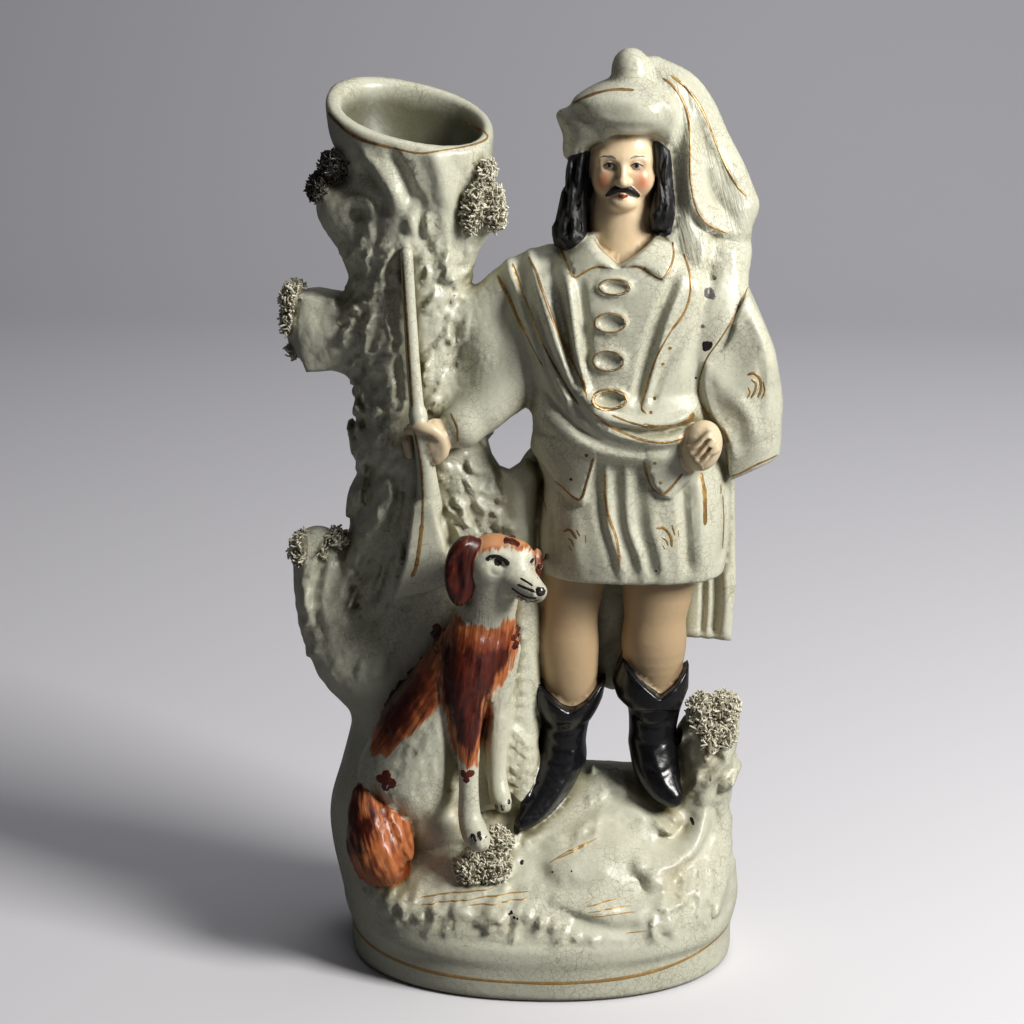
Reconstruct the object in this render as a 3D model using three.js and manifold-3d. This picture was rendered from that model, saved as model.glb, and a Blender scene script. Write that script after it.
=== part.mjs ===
// Figural spill vase: a hunter with a gun and a seated dog beside a hollow tree trunk.
// One hollow-mouthed earthenware casting on an oval foot. Millimetres, +Z up,
// -Y is the modelled front, the origin is the centre of the foot's underside.
import * as THREE from "three";
import { mergeVertices } from "three/addons/utils/BufferGeometryUtils.js";
import Module from "manifold-3d";

const wasm = await Module();
wasm.setup();

// Driving dimensions
const HEIGHT = 380; // foot to the top of the cap's knob
const FOOT_HALF_WIDTH = 81;
const FOOT_HALF_DEPTH = 62;
const FOOT_SQUARENESS = 2.15;
const PLINTH_HEIGHT = 27.5;
const WALL = 4.5; // thickness of the clay round the spill well
const WELL_FLOOR = 232; // height of the bottom of the spill well
const RIM = { x: -55, y: 5, z: 351.5, rightward: -0.22, backward: 0.42 };

// A closed body from any three.js geometry
function solid(geometry) {
  const bare = geometry.clone();
  bare.deleteAttribute("normal");
  if (bare.hasAttribute("uv")) bare.deleteAttribute("uv");
  const welded = mergeVertices(bare, 1e-4);
  const mesh = new wasm.Mesh({
    numProp: 3,
    vertProperties: new Float32Array(welded.attributes.position.array),
    triVerts: new Uint32Array(welded.index.array),
  });
  return new wasm.Manifold(mesh);
}

// Rings of points joined into a skin with a flat cap at each end
function skin(rings) {
  const count = rings[0].length;
  const points = rings.flat();
  const first = points.length;
  const middle = (ring) => {
    const sum = new THREE.Vector3();
    ring.forEach((p) => sum.add(p));
    return sum.divideScalar(ring.length);
  };
  points.push(middle(rings[0]), middle(rings[rings.length - 1]));
  const index = [];
  for (let r = 0; r < rings.length - 1; r += 1) {
    for (let i = 0; i < count; i += 1) {
      const a = r * count + i;
      const b = r * count + ((i + 1) % count);
      index.push(a, b, b + count, a, b + count, a + count);
    }
  }
  const last = (rings.length - 1) * count;
  for (let i = 0; i < count; i += 1) {
    const next = (i + 1) % count;
    index.push(first, next, i);
    index.push(first + 1, last + i, last + next);
  }
  const geometry = new THREE.BufferGeometry();
  geometry.setFromPoints(points);
  geometry.setIndex(index);
  return solid(geometry);
}

// Level slices, each [z, left, right, front, back], between round and square in plan
function stack(rows, sides = 20, squareness = 2.3) {
  const power = 2 / squareness;
  const bend = (v) => Math.sign(v) * Math.abs(v) ** power;
  return skin(
    rows.map(([z, left, right, front, back]) => {
      const ring = [];
      for (let i = 0; i < sides; i += 1) {
        const t = (2 * Math.PI * i) / sides;
        const x = (left + right) / 2 + (bend(Math.cos(t)) * (right - left)) / 2;
        const y = (front + back) / 2 + (bend(Math.sin(t)) * (back - front)) / 2;
        ring.push(new THREE.Vector3(x, y, z));
      }
      return ring;
    }),
  );
}

// A limb along a path, each station [x, y, z, radius], flattened front to back by `flat`
function limb(stations, { sides = 8, flat = 1 } = {}) {
  const path = new THREE.CatmullRomCurve3(
    stations.map(([x, y, z]) => new THREE.Vector3(x, y, z)),
    false,
    "centripetal",
  );
  const rings = stations.map(([, , , radius], s) => {
    const t = s / (stations.length - 1);
    const centre = path.getPoint(t);
    const ahead = path.getTangent(t);
    const back = new THREE.Vector3(0, 1, 0);
    const across = new THREE.Vector3().crossVectors(back, ahead).normalize();
    const deep = new THREE.Vector3().crossVectors(ahead, across).normalize();
    const ring = [];
    for (let i = 0; i < sides; i += 1) {
      const a = (2 * Math.PI * i) / sides;
      const p = centre.clone().addScaledVector(across, Math.cos(a) * radius);
      ring.push(p.addScaledVector(deep, Math.sin(a) * radius * flat));
    }
    return ring;
  });
  return skin(rings);
}

// An egg at [x, y, z] with half sizes [rx, ry, rz]
function egg([x, y, z], [rx, ry, rz], around = 8, up = 5) {
  const ball = new THREE.SphereGeometry(1, around, up);
  ball.rotateX(Math.PI / 2);
  ball.scale(rx, ry, rz);
  ball.translate(x, y, z);
  return solid(ball);
}

// A standing slab cut to an outline in x and z, from the back y to the front y
function slab(outline, back, front) {
  const shape = new THREE.Shape(outline.map(([x, z]) => new THREE.Vector2(x, z)));
  const geometry = new THREE.ExtrudeGeometry(shape, {
    depth: back - front - 3,
    bevelEnabled: true,
    bevelThickness: 1.5,
    bevelSize: 1.5,
    bevelOffset: -1.5,
    bevelSegments: 1,
  });
  geometry.rotateX(Math.PI / 2);
  geometry.translate(0, back - 1.5, 0);
  return solid(geometry);
}

// A huge block lying above the sloping rim, to cut the trunk's mouth
function aboveRim(lift) {
  const block = new THREE.BoxGeometry(200, 200, 120);
  block.translate(0, 0, 60);
  const up = new THREE.Vector3(-RIM.rightward, -RIM.backward, 1).normalize();
  const turn = new THREE.Quaternion().setFromUnitVectors(new THREE.Vector3(0, 0, 1), up);
  block.applyQuaternion(turn);
  block.translate(RIM.x, RIM.y, RIM.z + lift);
  return solid(block);
}

// Oval foot with a softened lower edge
function plinth() {
  const ring = (z, inset) => {
    const a = FOOT_HALF_WIDTH - inset;
    const b = FOOT_HALF_DEPTH - inset;
    return [z, -a, a, -b, b];
  };
  const rows = [
    ring(0, 3),
    ring(1.2, 1),
    ring(4, 0),
    ring(PLINTH_HEIGHT - 5, 0.3),
    ring(PLINTH_HEIGHT, 1.6),
  ];
  return stack(rows, 32, FOOT_SQUARENESS);
}

// Ground rising steeply from the front of the foot to a ridge under the boots
function mound() {
  const rows = [
    [PLINTH_HEIGHT - 3, -80, 80, -60, 60],
    [34, -82, 80, -55, 57],
    [44, -83, 79, -45, 53],
    [55, -84, 78, -33, 47],
    [65, -82, 76, -22, 38],
    [73, -78, 70, -11, 27],
    [77.5, -68, 58, -2, 16],
  ];
  return stack(rows, 24, 2.6);
}

// Tree trunk, broad below and flaring into the spill mouth
function trunk() {
  const rows = [
    [22, -85, 12, -32, 50],
    [45, -90.5, 10, -29, 48],
    [61, -91, 8, -24, 44],
    [79, -86, 6, -19, 40],
    [116, -79, 7, -15, 36],
    [150, -82, 8, -14, 35],
    [180, -83, 6, -15, 34],
    [204, -82, -10, -17, 33],
    [215, -79, -20, -18, 32],
    [235, -78, -20, -18, 32],
    [258, -79, -25, -18, 31],
    [284, -79, -30, -18, 30],
    [304, -80, -31, -19, 30],
    [325, -85, -21, -22, 32],
    [340, -88, -19, -24, 34],
    [378, -88.5, -17, -26, 36],
  ];
  return stack(rows, 22, 2.25).subtract(aboveRim(0));
}

// Spill well, following the trunk one wall thickness inside it
function well() {
  const inside = ([z, left, right, front, back], wall) => [
    z,
    left + wall,
    right - wall,
    front + wall,
    back - wall,
  ];
  const rows = [
    [WELL_FLOOR, -62, -46, -2, 12],
    [WELL_FLOOR + 4, -67, -40, -7, 18],
    inside([255, -79, -24, -18, 31], WALL * 2.1),
    inside([280, -79, -29, -18, 30], WALL * 1.5),
    inside([300, -80, -32, -19, 30], WALL * 1.2),
    inside([326, -85, -21, -22, 32], WALL * 1.1),
    inside([340, -87.5, -19, -24, 34], WALL),
    inside([380, -88.5, -17.5, -26, 36], WALL),
  ];
  return stack(rows, 18, 2.2);
}

// Sawn branch stubs on the trunk
function stubs() {
  return [
    limb([[-62, 6, 112, 20], [-80, 4, 128, 18], [-91, 3, 150, 13], [-94, 3, 173, 10.5]]),
    limb([[-60, 6, 258, 19], [-85, 5, 262, 18], [-101, 4, 264, 18]]),
    limb([[-70, 5, 303, 13], [-82, 3, 314, 11.5], [-86, 2, 330, 9]]),
    limb([[-40, 0, 298, 12], [-27, -6, 312, 9.5]]),
    egg([-100, 3, 264], [7, 14, 19]),
    egg([-94, 2, 174], [11, 10, 7]),
    egg([-87, 0, 326], [9, 9, 12]),
    egg([-23, -10, 319], [9, 7, 15]),
  ];
}

// The man's jacket, kilt and the clay panel that backs them
function dress() {
  const jacket = [
    [196, 0, 74, -27, 24],
    [211, -3, 74, -30, 23],
    [226, -5, 71, -31, 22],
    [241, -5, 70, -32, 22],
    [258, -8, 72, -32, 22],
    [274, -10, 76, -31, 21],
    [287, -8, 76, -28, 20],
    [295, 2, 68, -23, 18],
    [302, 14, 54, -18, 14],
  ];
  const kilt = [
    [165, -1, 75, -31, 24],
    [182, -2.5, 77, -32, 26],
    [200, -1, 77, -31, 25],
    [214, 2, 76, -29, 23],
  ];
  const hemCut = slab([[64, 150], [90, 150], [90, 184], [77, 178], [70, 168]], 40, -45);
  const tail = [[56, 138], [79, 137], [80.5, 170], [79, 205], [56, 205]];
  const panel = [[-6, 114], [20, 117], [30, 114], [37, 118], [56, 130], [66, 205], [-6, 205]];
  return [
    stack(jacket, 20, 2.4),
    stack(kilt, 22, 2.6).subtract(hemCut),
    slab(tail, 22, 1),
    slab(panel, 25, -2),
    limb([[-36, 10, 258, 18], [-18, 9, 262, 20], [0, 8, 266, 18]], { flat: 0.6 }),
    limb([[-26, 9, 196, 9], [-10, 9, 203, 9], [4, 8, 212, 9]]),
    limb([[14, -2, 299, 5], [12, -17, 297, 4.5], [20, -26, 296, 4]]),
    limb([[52, -2, 300, 5], [52, -18, 296, 4.5], [42, -26, 297, 4]]),
  ];
}

// Folds of the plaid across the chest and the sash round the waist
function folds() {
  const band = { sides: 7, flat: 0.8 };
  return [
    limb([[-4, -14, 292, 5], [2, -28, 270, 6], [14, -33, 250, 6], [30, -36, 239, 5]], band),
    limb([[6, -15, 297, 5], [9, -29, 275, 6], [18, -34, 254, 6], [32, -36, 243, 5]], band),
    limb([[17, -20, 296, 5], [17, -31, 275, 5], [22, -34, 255, 5]], band),
    limb([[22, -34, 243, 6], [42, -36, 238, 6.5], [62, -32, 241, 6]], band),
    limb([[14, -31, 236, 6], [34, -36, 229, 6.5], [60, -31, 229, 6]], band),
    limb([[58, -18, 304, 5], [58, -30, 285, 5.5], [50, -34, 262, 5], [44, -35, 246, 4]], band),
  ];
}

// Oval buttons down the front of the jacket
function buttons() {
  const places = [[29, -30, 289], [28, -32, 276], [27, -33, 260], [28, -33.5, 246]];
  return places.map((place) => egg(place, [6.6, 3.6, 3.7], 8, 4));
}

// Bare legs and turned-over boots
function legs() {
  return [
    limb([[14, -6, 174, 13], [13, -7, 148, 12.8], [12.5, -7, 128, 12.3], [12, -7, 112, 9.5]]),
    limb([[48, -6, 174, 15], [47.5, -7, 148, 14.4], [46.5, -7, 130, 12.5], [46, -6, 114, 9.5]]),
    stack([
      [84, -1, 18, -18, 6],
      [94, 0.5, 18.5, -17, 6],
      [103, 1.5, 21, -18, 7],
      [112, -1, 25, -20, 8],
      [119, -3.5, 28, -22, 9],
      [123, -3, 28, -21, 9],
    ], 12, 2),
    limb([[9, -6, 88, 10], [5, -13, 76, 9.5], [0, -19, 67, 7.5], [-5, -25, 62, 5]]),
    stack([
      [88, 37, 56, -15, 8],
      [96, 37, 56, -15, 8],
      [106, 36.5, 58, -16, 8],
      [116, 31, 61, -20, 9],
      [123, 29.5, 62, -22, 9],
      [128, 30.5, 61.5, -21, 9],
    ], 12, 2),
    limb([[46, -4, 92, 10], [48, -8, 82, 10], [52, -13, 75, 8], [55, -17, 71.5, 5.5]]),
  ];
}

// Cape hanging from the far shoulder, and the hand on the hip
function cape() {
  const rows = [
    [211, 80, 90, -10, 9],
    [217, 76, 97.5, -17, 13],
    [230, 68, 97, -20, 15],
    [246, 64, 96, -23, 16],
    [262, 62, 93, -23, 17],
    [276, 60, 88, -21, 17],
    [288, 58, 81, -16, 14],
    [294, 60, 74, -9, 10],
  ];
  return [
    stack(rows, 16, 2.2),
    egg([66.5, -29, 226], [8, 6.5, 10]),
    limb([[84, -10, 226, 9], [74, -20, 227, 7.5]]),
  ];
}

// Head, locks, cap with its knob and falling plume
function head() {
  const cap = [
    [340, 20, 47, -20, 12],
    [346, 14, 51, -23, 14],
    [352, 6, 56, -26, 16],
    [357, 5, 58, -26, 17],
    [362, 11, 56, -22, 15],
    [366, 21, 51, -15, 11],
    [369, 27, 45, -9, 7],
  ];
  const plume = [
    [40, 0, 368, 5],
    [49, 2, 361, 8],
    [57, 3, 350, 12.5],
    [64, 3, 334, 14.5],
    [69, 3, 318, 16.5],
    [71, 3, 304, 16],
    [70, 2, 290, 14],
    [68, 1, 278, 12],
  ];
  return [
    limb([[33, -3, 288, 12], [33, -5, 304, 11], [33, -6, 322, 12]]),
    egg([33.5, -8, 333], [13.5, 14, 19], 12, 8),
    egg([33, -21, 334], [2.6, 4, 4.5], 6, 5),
    limb([[17, -3, 342, 4], [13, -5, 326, 6], [10, -6, 306, 6.5]]),
    limb([[48, -4, 342, 3.5], [49.5, -6, 326, 4.6], [48, -7, 311, 4.6]]),
    stack(cap, 18, 2.2),
    limb([[33, -3, 360, 9], [34, -3, 371, 8.4]]),
    egg([34.3, -3, 372], [8.4, 8.4, HEIGHT - 372], 10, 6),
    limb(plume, { sides: 10, flat: 0.8 }),
  ];
}

// Sleeved arm reaching to the gun that leans on the trunk
function gunArm() {
  return [
    limb([
      [-1, -1, 285, 14],
      [-7, -7, 264, 14],
      [-10, -12, 247, 13.5],
      [-20, -16, 238, 12.5],
      [-36, -21, 231, 9.5],
    ]),
    egg([-45, -24, 229], [8, 7.5, 7.5]),
    limb([[-55, -20, 302, 4], [-52, -24, 232, 4.2]], { sides: 8 }),
    limb([[-48, -22, 232, 4.5], [-46.5, -21, 212, 5], [-47, -19, 190, 7]], { sides: 8 }),
    slab([[-51, 195], [-42.5, 197], [-37, 183], [-36, 165], [-59, 159], [-55, 178]], -6, -24),
  ];
}

// Seated dog with its brush of a tail
function dog() {
  return [
    limb([[-22, -26, 150, 13], [-28, -26, 132, 17], [-42, -25, 108, 22], [-52, -24, 84, 25]]),
    egg([-54, -24, 72], [24, 22, 26], 12, 8),
    limb([[-50, -34, 70, 13], [-40, -40, 62, 9], [-32, -43, 57, 6]]),
    limb([
      [-21, -32, 144, 13],
      [-22, -37, 120, 11.5],
      [-24, -39, 98, 7],
      [-24.5, -40, 80, 5.4],
      [-24, -43, 66, 5.4],
      [-20, -48, 58.5, 6],
    ]),
    limb([[-12, -27, 140, 10], [-12, -29, 112, 7], [-12.5, -29, 84, 4.6], [-10, -33, 71, 5]]),
    limb([[-21, -28, 146, 14], [-19.5, -33, 164, 12.5], [-17, -35, 174, 12]]),
    egg([-16, -36, 178], [14, 12.5, 12.5], 10, 7),
    limb([[-12, -40, 176, 8.5], [-4, -45, 172.5, 6.2], [2, -49, 169.5, 4.4]]),
    egg([-28, -39, 176], [6.5, 5, 14], 12, 9),
    egg([-2, -30, 178], [4, 5, 11], 10, 7),
    limb([[-73, -26, 76, 8], [-72, -33, 66, 12], [-68, -38, 52, 14], [-64, -40, 41, 9]]),
  ];
}

// Fallen deer on the front slope, and the rock with its tuft
function ground() {
  return [
    limb([
      [6, -40, 56, 4],
      [20, -44, 55, 9],
      [38, -45, 55, 10.5],
      [54, -46, 52, 8.5],
      [66, -48, 48, 5.5],
      [75, -43, 52, 5],
      [77, -34, 61, 4.6],
      [71, -29, 68, 4.6],
      [66, -28, 70, 3.4],
    ], { sides: 8 }),
    limb([[66, 2, 26, 18], [65, 1, 60, 15], [69, 0, 88, 13.5], [71.5, -1, 108, 10.5]]),
    egg([72, -5, 104], [10, 9, 9]),
    egg([-21, -46, 57], [13, 8, 9]),
  ];
}

const parts = [
  plinth(),
  mound(),
  trunk(),
  ...stubs(),
  ...dress(),
  ...folds(),
  ...buttons(),
  ...legs(),
  ...cape(),
  ...head(),
  ...gunArm(),
  ...dog(),
  ...ground(),
];
const casting = wasm.Manifold.union(parts).subtract(well());

// The finished body as a three.js mesh
function finished(body) {
  const mesh = body.getMesh();
  const geometry = new THREE.BufferGeometry();
  const positions = new Float32Array(mesh.vertProperties);
  geometry.setAttribute("position", new THREE.BufferAttribute(positions, 3));
  geometry.setIndex(new THREE.BufferAttribute(new Uint32Array(mesh.triVerts), 1));
  geometry.computeVertexNormals();
  return geometry;
}

const glaze = new THREE.MeshStandardMaterial({ color: 0xd9d8c6, roughness: 0.3 });
glaze.name = "cream_glaze";
const figure = new THREE.Mesh(finished(casting), glaze);
figure.name = "spill_vase";

const part = new THREE.Group();
part.name = "figural_spill_vase";
part.add(figure);
export default part;
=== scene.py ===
# %% [markdown]
# # A figural spill vase
# The real object is one press-moulded earthenware casting under a crackled cream glaze: a hunter leans a gun on
# a hollow tree trunk whose mouth holds paper spills, and a spotted hound sits at his feet. The script loads the
# plain solid of the casting, sculpts a finer skin over it, paints that skin, and lights it as a small studio.

# %% Load the plain solid
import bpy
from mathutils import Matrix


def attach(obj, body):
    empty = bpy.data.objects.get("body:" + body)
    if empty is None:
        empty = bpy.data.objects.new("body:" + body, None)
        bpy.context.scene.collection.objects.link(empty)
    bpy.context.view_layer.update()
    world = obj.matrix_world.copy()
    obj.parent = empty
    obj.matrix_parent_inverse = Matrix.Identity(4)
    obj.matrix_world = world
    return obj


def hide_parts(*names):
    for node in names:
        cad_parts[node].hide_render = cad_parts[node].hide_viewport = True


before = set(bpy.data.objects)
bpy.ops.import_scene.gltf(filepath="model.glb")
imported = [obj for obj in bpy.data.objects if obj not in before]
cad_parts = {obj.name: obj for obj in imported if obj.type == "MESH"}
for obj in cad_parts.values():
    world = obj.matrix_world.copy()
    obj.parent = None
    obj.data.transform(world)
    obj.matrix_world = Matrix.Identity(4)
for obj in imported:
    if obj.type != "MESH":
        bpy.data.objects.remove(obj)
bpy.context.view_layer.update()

# %% [markdown]
# ## Clay as a distance field
# Modelled clay has no sharp joins: an arm grows out of a shoulder and a fold melts into a jacket. A distance field
# gives exactly that. Every form is a function that says how far a point is from its skin, and two forms are pressed
# together with a soft minimum that leaves a small fillet, as a modeller's thumb does. All sizes are millimetres.

# %% The block of clay
import math
import random
import bpy
import numpy as np
import openvdb

GRAIN = 0.62
LOW = np.array([-114.0, -67.0, -3.0])
HIGH = np.array([103.0, 66.0, 385.0])
LINES = [np.arange(LOW[i], HIGH[i], GRAIN, dtype=np.float32) for i in range(3)]
FAR = 9.0
clay = np.full([len(line) for line in LINES], FAR, np.float32)
print("clay block:", clay.shape, "grain", GRAIN, "mm")


def soft_step(a, b, t):
    """0 below a, 1 above b, smooth between."""
    t = np.clip((t - a) / (b - a), 0, 1)
    return t * t * (3 - 2 * t)


def soft_min(a, b, k):
    """Union with a fillet about k wide."""
    return np.minimum(a, b) - np.maximum(k - np.abs(a - b), 0) ** 2 / (4 * k)


def soft_max(a, b, k):
    """Cut or intersection with an edge rounded about k wide."""
    return np.maximum(a, b) + np.maximum(k - np.abs(a - b), 0) ** 2 / (4 * k)


def window(low, high, margin):
    """The slices of the block round a box, and the three coordinate rows of that part of it."""
    cuts, rows = [], []
    for axis in range(3):
        first = max(0, int((low[axis] - margin - LOW[axis]) / GRAIN))
        last = min(len(LINES[axis]), int((high[axis] + margin - LOW[axis]) / GRAIN) + 2)
        cuts.append(slice(first, last))
        rows.append(LINES[axis][first:last].reshape([-1 if i == axis else 1 for i in range(3)]))
    return tuple(cuts), rows


# %% Curves through a few stations
def through(stations, fine=6):
    """A smooth curve through rows of numbers, as more rows (Catmull-Rom)."""
    s = np.asarray(stations, float)
    if len(s) < 3:
        return np.linspace(s[0], s[-1], fine + 1)
    s = np.vstack([2 * s[0] - s[1], s, 2 * s[-1] - s[-2]])
    t = np.linspace(0, 1, fine, endpoint=False)[:, None]
    spans = []
    for a, b, c, d in zip(s, s[1:], s[2:], s[3:]):
        spans.append(0.5 * (2 * b + (c - a) * t + (2 * a - 5 * b + 4 * c - d) * t**2 + (3 * b - a - 3 * c + d) * t**3))
    return np.vstack(spans + [s[-2:-1]])


# %% Four kinds of form
class Form:
    """A shape: the box it fills and the function that gives its distance."""

    def __init__(self, low, high, distance):
        self.low, self.high, self.distance = np.asarray(low, float), np.asarray(high, float), distance


def limb(stations, flat=1.0, fine=4):
    """A round limb along stations [x, y, z, radius]; flat below 1 makes it shallow front to back."""
    s = through(stations, fine)
    reach = s[:, 3:4] * np.array([1, max(flat, 0.2), 1])

    def distance(x, y, z):
        best = None
        for a, b in zip(s[:-1], s[1:]):
            along = b[:3] - a[:3]
            t = (x - a[0]) * along[0] + (y - a[1]) * along[1] + (z - a[2]) * along[2]
            t = np.clip(t / (along @ along), 0, 1)
            dx, dy, dz = x - a[0] - t * along[0], (y - a[1] - t * along[1]) / flat, z - a[2] - t * along[2]
            d = np.sqrt(dx * dx + dy * dy + dz * dz) - (a[3] + t * (b[3] - a[3]))
            best = d if best is None else np.minimum(best, d)
        return best * min(1.0, 0.5 + flat / 2)

    return Form((s[:, :3] - reach).min(0), (s[:, :3] + reach).max(0), distance)


def egg(centre, radii, lean=0.0, nod=0.0):
    """An ellipsoid; lean turns it in the front view and nod tips it forwards, in degrees."""
    a, b = math.radians(lean), math.radians(nod)
    turn = np.array([[math.cos(a), 0, math.sin(a)], [0, 1, 0], [-math.sin(a), 0, math.cos(a)]])
    tip = np.array([[1, 0, 0], [0, math.cos(b), -math.sin(b)], [0, math.sin(b), math.cos(b)]])
    m = (turn @ tip).T
    reach = np.sqrt(((m.T * np.asarray(radii)) ** 2).sum(1))
    r = np.asarray(radii, float)

    def distance(x, y, z):
        dx, dy, dz = x - centre[0], y - centre[1], z - centre[2]
        u, v, w = [m[i][0] * dx + m[i][1] * dy + m[i][2] * dz for i in range(3)]
        k0 = np.sqrt((u / r[0]) ** 2 + (v / r[1]) ** 2 + (w / r[2]) ** 2)
        k1 = np.sqrt((u / r[0] ** 2) ** 2 + (v / r[1] ** 2) ** 2 + (w / r[2] ** 2) ** 2)
        return k0 * (k0 - 1) / np.maximum(k1, 1e-6)

    return Form(np.asarray(centre) - reach, np.asarray(centre) + reach, distance)


def stack(rows, squareness=2.3, edge=1.5):
    """Level slices [z, left, right, front, back] joined smoothly, between round and square in plan."""
    s = through(rows, 6)
    order = np.argsort(s[:, 0])
    s = s[order]
    n = squareness

    def distance(x, y, z):
        left, right, front, back = [np.interp(z, s[:, 0], s[:, i]).astype(np.float32) for i in range(1, 5)]
        rx, ry = (right - left) / 2, (back - front) / 2
        u = np.abs((x - (left + right) / 2) / rx) + 1e-6
        v = np.abs((y - (front + back) / 2) / ry) + 1e-6
        un, vn = u ** (n - 1), v ** (n - 1)
        g = (un * u + vn * v) ** (1 / n)
        slope = g ** (1 - n) * np.sqrt((un / rx) ** 2 + (vn / ry) ** 2)
        d = (g - 1) / np.maximum(slope, 1e-4)
        d = np.clip(d, -40, 40)
        return soft_max(d, np.maximum(z - s[-1, 0], s[0, 0] - z), edge)

    low = [s[:, 1].min(), s[:, 3].min(), s[0, 0]]
    high = [s[:, 2].max(), s[:, 4].max(), s[-1, 0]]
    return Form(low, high, distance)


def outline_distance(points, x, z):
    """Signed distance to a closed outline in the front view."""
    p = np.asarray(points, float)
    near, inside = None, None
    for (ax, az), (bx, bz) in zip(p, np.roll(p, -1, 0)):
        ex, ez = bx - ax, bz - az
        t = np.clip(((x - ax) * ex + (z - az) * ez) / (ex * ex + ez * ez), 0, 1)
        d = (x - ax - t * ex) ** 2 + (z - az - t * ez) ** 2
        near = d if near is None else np.minimum(near, d)
        cross = ((az > z) != (bz > z)) & (x < (bx - ax) * (z - az) / (bz - az if bz != az else 1e-9) + ax)
        inside = cross if inside is None else inside ^ cross
    return np.where(inside, -1, 1) * np.sqrt(near)


def slab(points, back, front, edge=2.0):
    """A slab cut to an outline [x, z] in the front view, between two depths."""
    p = np.asarray(points, float)

    def distance(x, y, z):
        flat_d = outline_distance(p, x, z)
        deep_d = np.abs(y - (back + front) / 2) - (back - front) / 2
        return soft_max(flat_d, deep_d, edge)

    low, high = [p[:, 0].min(), front, p[:, 1].min()], [p[:, 0].max(), back, p[:, 1].max()]
    return Form(low, high, distance)


# %% Press a form on, or cut it away
PAINTED = {"glaze": [], "flesh": [], "black": [], "moss": []}


def press(form, k=1.5, paint="glaze"):
    """Adds a form to the clay with a fillet about k wide, and notes which paint it will carry."""
    cuts, (x, y, z) = window(form.low, form.high, 4 + k)
    clay[cuts] = soft_min(clay[cuts], form.distance(x, y, z).astype(np.float32), k)
    PAINTED[paint].append(form)
    return form


def carve(form, k=1.5):
    """Cuts a form out of the clay, with the edge rounded about k wide."""
    cuts, (x, y, z) = window(form.low, form.high, 3 + k)
    clay[cuts] = soft_max(clay[cuts], -form.distance(x, y, z).astype(np.float32), k)


def together(forms, k):
    """Several forms as one, melted into each other."""
    def distance(x, y, z):
        d = forms[0].distance(x, y, z)
        for f in forms[1:]:
            d = soft_min(d, f.distance(x, y, z), k)
        return d

    return Form(np.min([f.low for f in forms], 0), np.max([f.high for f in forms], 0), distance)


def within(form, outline, k=1.5):
    """The part of a form that lies inside an outline in the front view."""
    p = np.asarray(outline, float)

    def distance(x, y, z):
        return soft_max(form.distance(x, y, z), outline_distance(p, x, z), k)

    low, high = form.low.copy(), form.high.copy()
    low[[0, 2]] = np.maximum(low[[0, 2]], p.min(0))
    high[[0, 2]] = np.minimum(high[[0, 2]], p.max(0))
    return Form(low, high, distance)


def oval(centre, radii, count=20):
    """A closed ring of points in the front view."""
    turns = np.linspace(0, 2 * math.pi, count + 1)
    return np.column_stack([centre[0] + radii[0] * np.cos(turns), centre[1] + radii[1] * np.sin(turns)])


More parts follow.
